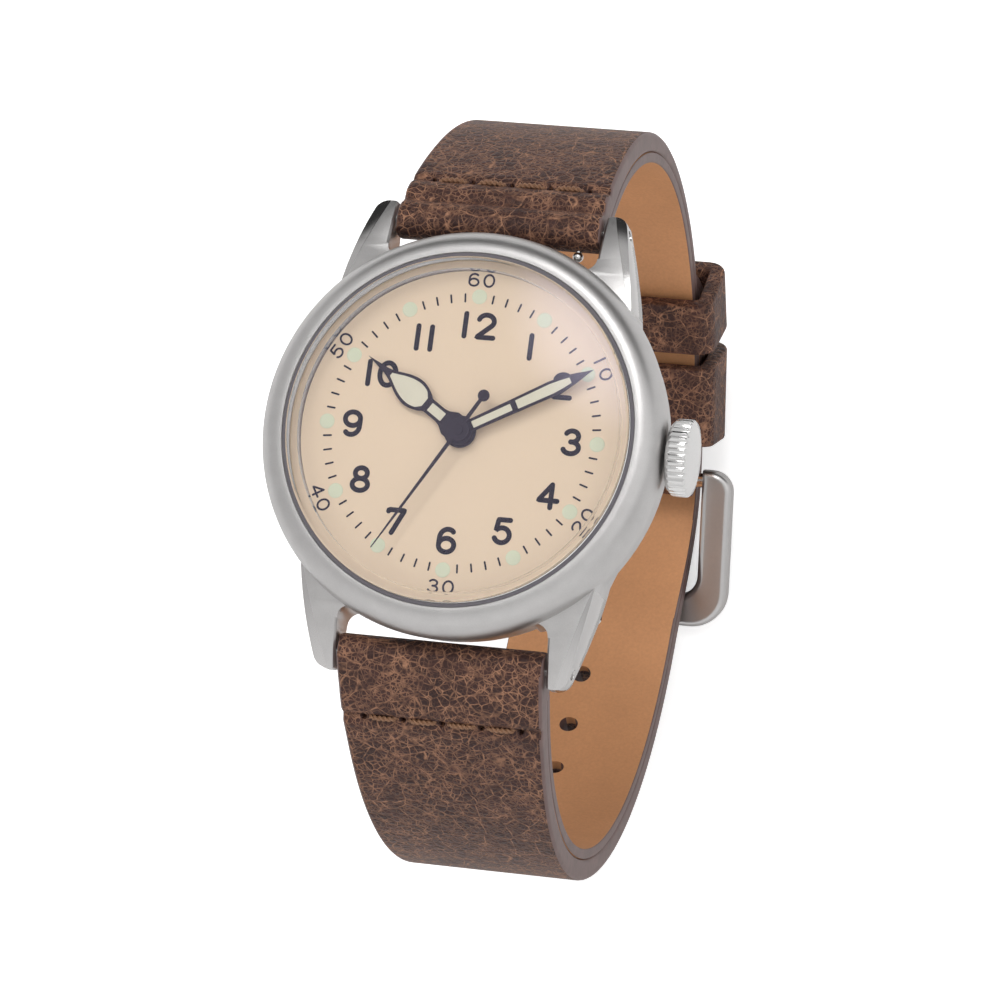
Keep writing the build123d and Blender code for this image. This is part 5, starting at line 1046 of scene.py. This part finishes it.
class Loop:
    """The strap's path seen from the crown side, an ellipse through both spring bars."""

    def __init__(self, s):
        self.s = s
        self.bar_angle = math.acos(s.bar_y / s.loop_depth)
        self.half_height = (s.bar_z + s.loop_centre) / math.sin(self.bar_angle)
        self.radian_length = (s.loop_depth + self.half_height) / 2
        self.hinge_angle = self.angle_at(s.hinge_y, -1)
        self.long_start = -math.pi - self.bar_angle
        self.tip_angle = self.angle_at(s.tip_y, -1)
        self.bottom = -s.loop_centre - self.half_height
        self.tail_offset = (s.short_end + s.long_end) / 2 + s.layer_gap
        self.lift_offset = s.fold_radius + s.layer_gap + s.long_end / 2

    def angle_at(self, y, side):
        return side * math.acos(y / self.s.loop_depth)

    def normal(self, angle):
        return Vector((math.cos(angle) / self.s.loop_depth, math.sin(angle) / self.half_height)).normalized()

    def point(self, angle, offset, ahead=0.0):
        """A point at an offset outwards from the path, and a distance ahead along its tangent."""
        normal = self.normal(angle)
        y = self.s.loop_depth * math.cos(angle) + normal.x * offset - normal.y * ahead
        z = -self.s.loop_centre + self.half_height * math.sin(angle) + normal.y * offset + normal.x * ahead
        return y, z

    def half_width(self, z):
        part = min(1.0, max(0.0, (z - self.bottom) / (self.s.bar_z - self.bottom)))
        return self.s.back_half + (self.s.lug_half - self.s.back_half) * part ** self.s.taper_power

    def short_faces(self, angle):
        """Offsets of the short strap's lining side and outer side."""
        s = self.s
        run = (self.bar_angle - angle) * self.radian_length
        whole = (self.bar_angle - self.hinge_angle) * self.radian_length
        thickness = 2 * s.end_radius
        thickness += (s.body - thickness) * eased(run, 0, s.taper)
        thin_from_share, thin_to_share = 0.2, 0.6
        thickness += (s.short_end - s.body) * eased(run, whole * thin_from_share, whole * thin_to_share)
        return -thickness / 2, thickness / 2

    def long_faces(self, angle):
        """The same for the long strap, which climbs over the short one at the buckle."""
        s = self.s
        run = (angle - self.long_start) * self.radian_length
        lift_start = self.angle_at(s.climb_start, -1)
        lift_top = self.angle_at(s.climb_top, -1)
        lift_end = self.angle_at(s.climb_end, -1)
        thickness = 2 * s.end_radius
        thickness += (s.body - thickness) * eased(run, 0, s.taper)
        thickness += (s.long_end - s.body) * eased(angle, lift_start, lift_top)
        climb = self.lift_offset * eased(angle, lift_start, lift_top)
        climb += (self.tail_offset - self.lift_offset) * eased(angle, lift_top, lift_end)
        return climb - thickness / 2, climb + thickness / 2

    def stack_faces(self, angle):
        return self.short_faces(angle)[0], self.long_faces(angle)[1]


def eased(value, start, end):
    part = min(1.0, max(0.0, (value - start) / (end - start)))
    return part * part * (3 - 2 * part)


def strap_section(face_columns, side_columns, corner_steps):
    """Round a strap's section: each point is its part of the half width and of the thickness,
    and how far round the corner's arc it lies."""
    corners = ((1, 1), (-1, 1), (-1, -1), (1, -1))
    outs = ((0, 1), (-1, 0), (0, -1), (1, 0))
    points = [(*corners[0], *outs[0])]
    for side, columns in enumerate((face_columns, side_columns) * 2):
        after = (side + 1) % len(corners)
        (x, y), (next_x, next_y) = corners[side], corners[after]
        out, next_out = outs[side], outs[after]
        for step in range(1, columns + 1):
            part = step / columns
            points.append((x + (next_x - x) * part, y + (next_y - y) * part, *out))
        for step in range(1, corner_steps + 1):
            turn = step / corner_steps * QUARTER_TURN
            points.append((next_x, next_y, out[0] * math.cos(turn) + next_out[0] * math.sin(turn),
                           out[1] * math.cos(turn) + next_out[1] * math.sin(turn)))
    return points


def band(name, loop, stations, corner):
    """A strap of leather along stations: each has an angle, a distance ahead, its inner and outer
    offsets and how much of its width is left."""
    columns_face, columns_side, corner_steps = 16, 3, 4
    shape = strap_section(columns_face, columns_side, corner_steps)

    def place(column, row):
        angle, ahead, inner, outer, width_part = stations[row]
        across, level, corner_x, corner_y = shape[column]
        middle, half = (inner + outer) / 2, (outer - inner) / 2
        radius = min(corner, half)
        path_z = loop.point(angle, middle, ahead)[1]
        reach = loop.half_width(path_z) * width_part
        x = across * (reach - radius) + corner_x * radius
        offset = middle + level * (half - radius) + corner_y * radius
        y, z = loop.point(angle, offset, ahead)
        return (x, y, z)

    piece = grid(name, len(shape) - 1, len(stations) - 1, place)
    return weld(piece, STRAP_WELD_DISTANCE, fill=True)


def paint_sides(piece, edge, side_share=0.55):
    """Give the faces that look along X the painted edge."""
    piece.data.materials.append(edge)
    for face in piece.data.polygons:
        if abs(face.normal.x) > side_share:
            face.material_index = 1


def rounded_end(angle, radius, side):
    """Stations from the tip of a round end, which points ahead or back, to its full thickness."""
    stations = []
    for step in range(END_STEPS):
        turn = step / END_STEPS * QUARTER_TURN
        half = radius * math.sin(turn) + END_THICKNESS
        stations.append((angle, side * radius * math.cos(turn) * END_REACH_SHARE, -half, half, 1))
    return stations


def short_stations(loop, lining):
    """Stations of the short strap: its nose round the bar, its run, and its fold at the buckle."""
    s = loop.s
    start = s.lining_start / loop.radian_length if lining else 0
    first, last = loop.bar_angle - start, loop.hinge_angle + 2 * start
    steps = 260
    layer = s.lining_thickness
    stations = []
    for step in range(steps + 1):
        angle = first + (last - first) * step / steps
        low, high = loop.short_faces(angle)
        run = (loop.bar_angle - angle) * loop.radian_length
        left = (angle - loop.hinge_angle) * loop.radian_length
        if lining:
            stations.append((angle, 0, low, low + layer - s.lining_slack, 1))
        else:
            inside = eased(run, s.lining_start - s.lining_ramp, s.lining_start)
            inside *= eased(left, 2 * s.lining_start, 2 * s.lining_start + s.lining_ramp)
            stations.append((angle, 0, low + layer * inside, high + upper_relief(s, run), 1))
    if lining:
        return stations
    fold = rounded_end(loop.hinge_angle, s.fold_radius, -1)
    return rounded_end(loop.bar_angle, s.end_radius, 1) + stations + fold[::-1]


def rise(run, middle, reach, height):
    """A soft ridge across the strap, or a groove where its height is below zero."""
    return height * math.exp(-((run - middle) / reach) ** 2)


def upper_relief(s, run):
    """The upper strap's face: a crease behind its nose, a swelling, and the groove of the stitches."""
    crease = rise(run, middle=1.3 * MM, reach=0.6 * MM, height=-0.4 * MM)
    swell = rise(run, middle=2.7 * MM, reach=0.7 * MM, height=0.1 * MM)
    return crease + swell + rise(run, s.upper_stitches, s.stitch_groove, height=-0.3 * MM)


def lower_relief(s, run):
    """The lower strap's face: soft swellings on both sides of the stitches' groove."""
    swell = rise(run, s.lower_stitches, reach=1.5 * MM, height=0.14 * MM)
    return swell + rise(run, s.lower_stitches, s.stitch_groove, height=-0.42 * MM)


def long_stations(loop, lining):
    """Stations of the long strap: its nose round the bar, its run to the buckle and its tail."""
    s = loop.s
    stations = [] if lining else rounded_end(loop.long_start, s.end_radius, -1)
    start = s.lining_start / loop.radian_length if lining else 0
    first = loop.long_start + start
    tip_reach_share = 0.998
    last = loop.tip_angle + s.tip_length / loop.radian_length * tip_reach_share
    steps, crowding = 420, 1.15
    layer = s.lining_thickness
    for step in range(steps + 1):
        part = step / steps
        angle = first + (last - first) * (1 - (1 - part) ** crowding)
        low, high = loop.long_faces(angle)
        run = (angle - loop.long_start) * loop.radian_length
        past = (angle - loop.tip_angle) * loop.radian_length
        width_part = math.sqrt(max(0.0, 1 - (past / s.tip_length) ** 2)) if past > 0 else 1
        if lining:
            stations.append((angle, 0, low, low + layer - s.lining_slack, width_part))
        else:
            inside = eased(run, s.lining_start - s.lining_ramp, s.lining_start)
            stations.append((angle, 0, low + layer * inside, high + lower_relief(s, run), width_part))
    return stations


def cut(piece, cutter):
    """Cut one piece out of another, and remove it."""
    modifier = piece.modifiers.new("Cut", "BOOLEAN")
    modifier.operation = "DIFFERENCE"
    modifier.solver = "EXACT"
    modifier.object = cutter
    apply_all(piece)
    bpy.data.objects.remove(cutter)


def peg(loop, angle, offset, x, radius, depth, box=None):
    """A round or square peg through the strap, square to its face."""
    y, z = loop.point(angle, offset)
    normal = loop.normal(angle)
    bpy.ops.object.select_all(action="DESELECT")
    if box:
        bpy.ops.mesh.primitive_cube_add(size=1)
        bpy.context.object.scale = (*box, depth)
    else:
        bpy.ops.mesh.primitive_cylinder_add(vertices=24, radius=radius, depth=depth)
    made = bpy.context.object
    made.rotation_mode = "QUATERNION"
    made.rotation_quaternion = Vector((0, 0, 1)).rotation_difference(Vector((0, normal.x, normal.y)))
    made.location = (x, y, z)
    settle(made)
    return made


def hole_pegs(loop):
    """Round pegs for the strap's holes, and a square one for the tongue's slot."""
    s = loop.s
    used = loop.hinge_angle - (s.fold_radius + s.tongue_wrap) / loop.radian_length
    pegs = []
    for index in range(-s.holes, 2):
        angle = used + index * s.hole_pitch / loop.radian_length
        box = None if index else (s.slot_width, s.slot_length)
        middle = sum(loop.long_faces(angle)) / 2
        pegs.append(peg(loop, angle, middle, 0, s.hole_radius, 4 * s.body, box))
    return join("pegs", pegs)


def stitch_rows(loop):
    """Where each row of stitches lies: its angle, and the offset of the leather's outer face."""
    s = loop.s
    upper = loop.bar_angle - s.upper_stitches / loop.radian_length
    lower = loop.long_start + s.lower_stitches / loop.radian_length
    return ((upper, loop.short_faces(upper)[1]), (lower, loop.long_faces(lower)[1]))


def stitch_pegs(loop, row):
    """Pegs for the holes that the thread goes down, one between each two stitches and at both ends."""
    s = loop.s
    angle, offset = row
    pegs = []
    for index in range(s.stitches + 1):
        x = (index - s.stitches / 2) * s.stitch_pitch
        pegs.append(peg(loop, angle, offset, x, s.stitch_hole, s.lining_thickness * 2))
    return join("stitch_pegs", pegs)


class WATCH_OT_strap(bpy.types.Operator):
    """Shape both leather straps along their loop, with their linings"""
    bl_idname = "watch.strap"
    bl_label = "Strap"

    def execute(self, context):
        s = context.scene.watch_strap
        loop = Loop(s)
        upper = band("upper_strap", loop, short_stations(loop, False), s.corner)
        lower = band("lower_strap", loop, long_stations(loop, False), s.corner)
        upper_lining = band("upper_lining", loop, short_stations(loop, True), s.lining_corner)
        lower_lining = band("lower_lining", loop, long_stations(loop, True), s.lining_corner)
        cut(lower, hole_pegs(loop))
        cut(lower_lining, hole_pegs(loop))
        for piece, row in zip((upper, lower), stitch_rows(loop)):
            cut(piece, stitch_pegs(loop, row))
        rows = ((upper, "strap_brown", ["upper_strap_leather"]),
                (lower, "strap_brown", ["lower_strap_leather"]),
                (upper_lining, "strap_lining", ["strap_linings"]),
                (lower_lining, "strap_lining", []))
        for piece, slot, replaced in rows:
            finish_piece(piece, materials[slot], "root", slot, replaced, STRAP_SMOOTH_ANGLE)
            paint_sides(piece, materials["edge"])
        return {"FINISHED"}


class WATCH_OT_stitching(bpy.types.Operator):
    """Lay the two rows of stitches in their grooves"""
    bl_idname = "watch.stitching"
    bl_label = "Stitching"

    def execute(self, context):
        s = context.scene.watch_strap
        loop = Loop(s)
        made = []
        for angle, offset in stitch_rows(loop):
            y, z = loop.point(angle, offset - s.stitch_sink)
            for index in range(s.stitches):
                x = (index - (s.stitches - 1) / 2) * s.stitch_pitch
                made += stitch(s, loop.normal(angle), (x, y, z))
        piece = weld(join("stitches", made))
        finish_piece(piece, materials["thread"], "root", "thread", ["strap_stitching"])
        return {"FINISHED"}


def stitch(s, normal, place):
    """One stitch: two plies twisted round each other, that dive into the leather at both ends."""
    around, along = 10, 28
    twists, closed_end_share = 3.0, 0.02
    ply = s.stitch_radius * 0.58
    spiral = s.stitch_radius * 0.45
    dive = s.stitch_radius * 1.6
    plies = []
    for phase in (0, math.pi):
        def spot(column, row):
            part = row / along
            x = (part - 0.5) * s.stitch_length
            sink = dive * (2 * abs(part - 0.5)) ** 4
            twist = phase + part * twists * FULL_TURN
            turn = column / around * FULL_TURN
            end = closed_end_share if row in (0, along) else 1
            side = spiral * math.sin(twist) + ply * end * math.sin(turn)
            lift = spiral * math.cos(twist) + ply * end * math.cos(turn) - sink
            return (place[0] + x, place[1] + normal.x * lift - normal.y * side,
                    place[2] + normal.y * lift + normal.x * side)
        plies.append(grid("ply", around, along, spot))
    return plies


class WATCH_OT_keepers(bpy.types.Operator):
    """Wrap the two leather keepers round both straps"""
    bl_idname = "watch.keepers"
    bl_label = "Keepers"

    def execute(self, context):
        s = context.scene.watch_strap
        loop = Loop(s)
        rows = (("fixed_band", s.fixed_keeper_y, s.fixed_keeper_width, "root", "fixed_keeper"),
                ("sliding_band", s.sliding_keeper_y, s.sliding_keeper_width, "keeper_slider",
                 "sliding_keeper"))
        for name, middle_y, width, body, node in rows:
            piece = keeper(name, loop, middle_y, width)
            finish_piece(piece, materials["strap_brown"], body, "strap_brown", [node], STRAP_SMOOTH_ANGLE)
        return {"FINISHED"}


def keeper(name, loop, middle_y, width):
    """A leather loop with rounded edges that follows the straps' curve."""
    s = loop.s
    middle = loop.angle_at(middle_y, -1)
    low, high = loop.stack_faces(middle)
    half = loop.half_width(loop.point(middle, 0)[1]) + s.keeper_side
    rim = s.keeper_rim
    least_corner = 0.25 * MM
    section_points = []
    quarter_steps = 4
    for corner, (ax, wx) in enumerate(((1, 1), (-1, 1), (-1, -1), (1, -1))):
        for step in range(quarter_steps + 1):
            turn = (corner + step / quarter_steps) * QUARTER_TURN
            along = ax * (width / 2 - rim) + rim * math.cos(turn)
            wall = s.keeper_wall / 2 + wx * (s.keeper_wall / 2 - rim) + rim * math.sin(turn)
            section_points.append((along, wall))
    section_points.append(section_points[0])
    inner_corner = max(s.keeper_corner - s.keeper_wall, least_corner)
    path = keeper_path(half, (high - low) / 2 + s.keeper_gap, inner_corner)

    def place(column, row):
        along, wall = section_points[column]
        x, offset, out_x, out_offset = path[row]
        angle = middle + along / loop.radian_length
        low_here, high_here = loop.stack_faces(angle)
        centre = (low_here + high_here) / 2
        y, z = loop.point(angle, centre + offset + out_offset * wall)
        return (x + out_x * wall, y, z)

    piece = grid(name, len(section_points) - 1, len(path) - 1, place)
    return weld(piece, STRAP_WELD_DISTANCE)


def keeper_path(half_x, half_offset, corner):
    """The inner line of a keeper, seen along the strap, with the direction outwards at each point."""
    points = []
    steps, side_steps = 6, 10
    for quadrant, (sx, so) in enumerate(((1, 1), (-1, 1), (-1, -1), (1, -1))):
        for step in range(steps + 1):
            turn = (quadrant + step / steps) * QUARTER_TURN
            out = (math.cos(turn), math.sin(turn))
            points.append((sx * (half_x - corner) + corner * out[0],
                           so * (half_offset - corner) + corner * out[1], *out))
        nx, no = ((-1, 1), (-1, -1), (1, -1), (1, 1))[quadrant]
        turn = (quadrant + 1) * QUARTER_TURN
        out = (math.cos(turn), math.sin(turn))
        here = points[-1]
        there = (nx * (half_x - corner) + corner * out[0], no * (half_offset - corner) + corner * out[1])
        for step in range(1, side_steps):
            part = step / side_steps
            points.append((here[0] + (there[0] - here[0]) * part, here[1] + (there[1] - here[1]) * part,
                           *out))
    points.append(points[0])
    return points


class WATCH_OT_buckle(bpy.types.Operator):
    """Give the buckle's frame and tongue their satin finish"""
    bl_idname = "watch.buckle"
    bl_label = "Buckle"

    def execute(self, context):
        tongue_bevel = context.scene.watch_strap.tongue_bevel
        rows = (("buckle_bow", "buckle_frame", "buckle", 0),
                ("buckle_prong", "buckle_tongue", "tongue", tongue_bevel))
        for name, node, body, width in rows:
            piece = merged_copy(name, node, width)
            finish_piece(piece, materials["satin_steel"], body, "polished_steel", [node])
        return {"FINISHED"}


# Stage

def lamp(name, place, width, power):
    """A square soft lamp that looks at the watch, and that nothing mirrors."""
    bpy.ops.object.select_all(action="DESELECT")
    bpy.ops.object.light_add(type="AREA", location=place)
    made = bpy.context.object
    made.name = name
    made.data.shape = "RECTANGLE"
    made.data.size = width
    made.data.size_y = width
    made.data.energy = power
    made.rotation_euler = (-Vector(place)).to_track_quat("-Z", "Y").to_euler()
    made.visible_glossy = False
    made.visible_transmission = False


def seen_rays(tree):
    """One for rays of the camera and for those that come through glass, and nothing for others."""
    rays = tree.nodes.new("ShaderNodeLightPath")
    return math_node(tree, "MAXIMUM", rays.outputs["Is Camera Ray"], rays.outputs["Is Transmission Ray"])


def floor_material(s):
    """A matt floor that glows for the camera, so that it shows white with a soft shadow."""
    made, tree, shader = material("White floor", Base_Color=(s.floor_tone, s.floor_tone, s.floor_tone),
                                  Emission_Color=(1, 1, 1), Roughness=0.9, Specular_IOR_Level=0.0)
    glow = math_node(tree, "MULTIPLY", seen_rays(tree), s.floor_glow)
    tree.links.new(glow, shader.inputs["Emission Strength"])
    return made


def facing(tree, direction, towards, near, far):
    """How far a direction looks towards a place: 1 within an angle of it, 0 past another, in degrees."""
    dot = add(tree, "ShaderNodeVectorMath", operation="DOT_PRODUCT")
    put(tree, dot.inputs[0], direction)
    put(tree, dot.inputs[1], tuple(Vector(towards).normalized()))
    return ramp(tree, dot.outputs["Value"], math.cos(math.radians(far)), math.cos(math.radians(near)),
                ease="SMOOTHSTEP")


def light_room(scene, s):
    """A white room with a softbox overhead, a box at the right and a black card low behind the watch."""
    world = scene.world or bpy.data.worlds.new("Soft room")
    scene.world = world
    world.use_nodes = True
    tree = world.node_tree
    direction = add(tree, "ShaderNodeTexCoord").outputs["Generated"]
    height = add(tree, "ShaderNodeSeparateXYZ", Vector=direction).outputs[2]
    overhead = facing(tree, direction, towards=(0.05, 0.42, 0.9), near=7, far=15)
    right = facing(tree, direction, towards=(0.7, 0.17, 0.62), near=14, far=40)
    ahead = facing(tree, direction, towards=(0, -1, 0.15), near=30, far=75)
    behind = facing(tree, direction, towards=(0.1, 1, 0.1), near=42, far=58)
    light = s.room
    for part, brightness in ((overhead, s.softbox), (right, s.side_box), (ahead, s.front)):
        light = math_node(tree, "MULTIPLY_ADD", part, brightness, light)
    card_top, card_fade = 0.42, 0.6
    low_down = ramp(tree, height, card_top, card_fade, 1.0, 0.0, "SMOOTHSTEP")
    card = math_node(tree, "MULTIPLY", behind, low_down)
    light = math_node(tree, "MULTIPLY", light, ramp(tree, card, 0, 1, 1.0, 1 - s.black_card))
    seen = seen_rays(tree)
    hidden = math_node(tree, "SUBTRACT", 1.0, seen)
    background = tree.nodes["Background"]
    tree.links.new(math_node(tree, "MULTIPLY_ADD", light, hidden, seen), background.inputs["Strength"])
    background.inputs["Color"].default_value = (1, 1, 1, 1)


class WATCH_OT_stage(bpy.types.Operator):
    """Set the floor, the soft light and the camera"""
    bl_idname = "watch.stage"
    bl_label = "Stage"

    def execute(self, context):
        scene = context.scene
        s = scene.watch_stage
        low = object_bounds()[0]
        bpy.ops.object.select_all(action="DESELECT")
        bpy.ops.mesh.primitive_plane_add(size=2 * s.floor_half, location=(0, 0, low.z))
        floor = context.object
        floor.name = "floor"
        floor.data.materials.append(floor_material(s))
        floor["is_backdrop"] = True

        distance = s.light_distance
        key_place = (-0.45 * distance, 0.6 * distance, 0.85 * distance)
        lamp("key_light", key_place, s.key_size, s.key_power)
        light_room(scene, s)

        view_direction = Vector((-0.24495, 0.16562, -0.9553))
        view_up = Vector((-0.0876, 0.9774, 0.192))
        bpy.ops.object.camera_add(location=(s.camera_x, s.camera_y, s.camera_z))
        camera = context.object
        camera.name = "photo_camera"
        back = -view_direction.normalized()
        right = view_up.cross(back).normalized()
        up = back.cross(right)
        camera.rotation_euler = Matrix((right, up, back)).transposed().to_euler()
        camera.data.sensor_width = 36
        camera.data.lens = s.lens / MM
        camera.data.clip_start = 0.01
        camera.data.clip_end = 50
        scene.camera = camera
        scene.view_settings.view_transform = "Standard"
        return {"FINISHED"}


class WATCH_PT_panel(bpy.types.Panel):
    bl_idname = "WATCH_PT_panel"
    bl_label = "Field watch"
    bl_space_type = "VIEW_3D"
    bl_region_type = "UI"
    bl_category = "Watch"

    def draw(self, context):
        for operator in operators:
            self.layout.operator(operator.bl_idname)
        for group_name in ("watch_case", "watch_dial", "watch_strap", "watch_stage"):
            settings = getattr(context.scene, group_name)
            box = self.layout.box()
            for name in settings.bl_rna.properties.keys():
                if name not in ("rna_type", "name"):
                    box.prop(settings, name)


setting_groups = {
    "watch_case": WatchCaseSettings,
    "watch_dial": WatchDialSettings,
    "watch_strap": WatchStrapSettings,
    "watch_stage": WatchStageSettings,
}
operators = (WATCH_OT_finishes, WATCH_OT_case, WATCH_OT_bezel, WATCH_OT_crystal, WATCH_OT_numerals,
             WATCH_OT_track, WATCH_OT_hands, WATCH_OT_crown, WATCH_OT_strap, WATCH_OT_stitching,
             WATCH_OT_keepers, WATCH_OT_buckle, WATCH_OT_stage)


def register():
    for name, settings in setting_groups.items():
        bpy.utils.register_class(settings)
        setattr(bpy.types.Scene, name, bpy.props.PointerProperty(type=settings))
    for kind in (*operators, WATCH_PT_panel):
        bpy.utils.register_class(kind)


def unregister():
    for kind in (WATCH_PT_panel, *reversed(operators)):
        bpy.utils.unregister_class(kind)
    for name, settings in reversed(setting_groups.items()):
        delattr(bpy.types.Scene, name)
        bpy.utils.unregister_class(settings)


def main():
    register()
    for operator in operators:
        family, name = operator.bl_idname.split(".")
        getattr(getattr(bpy.ops, family), name)()


if __name__ == "__main__":
    main()
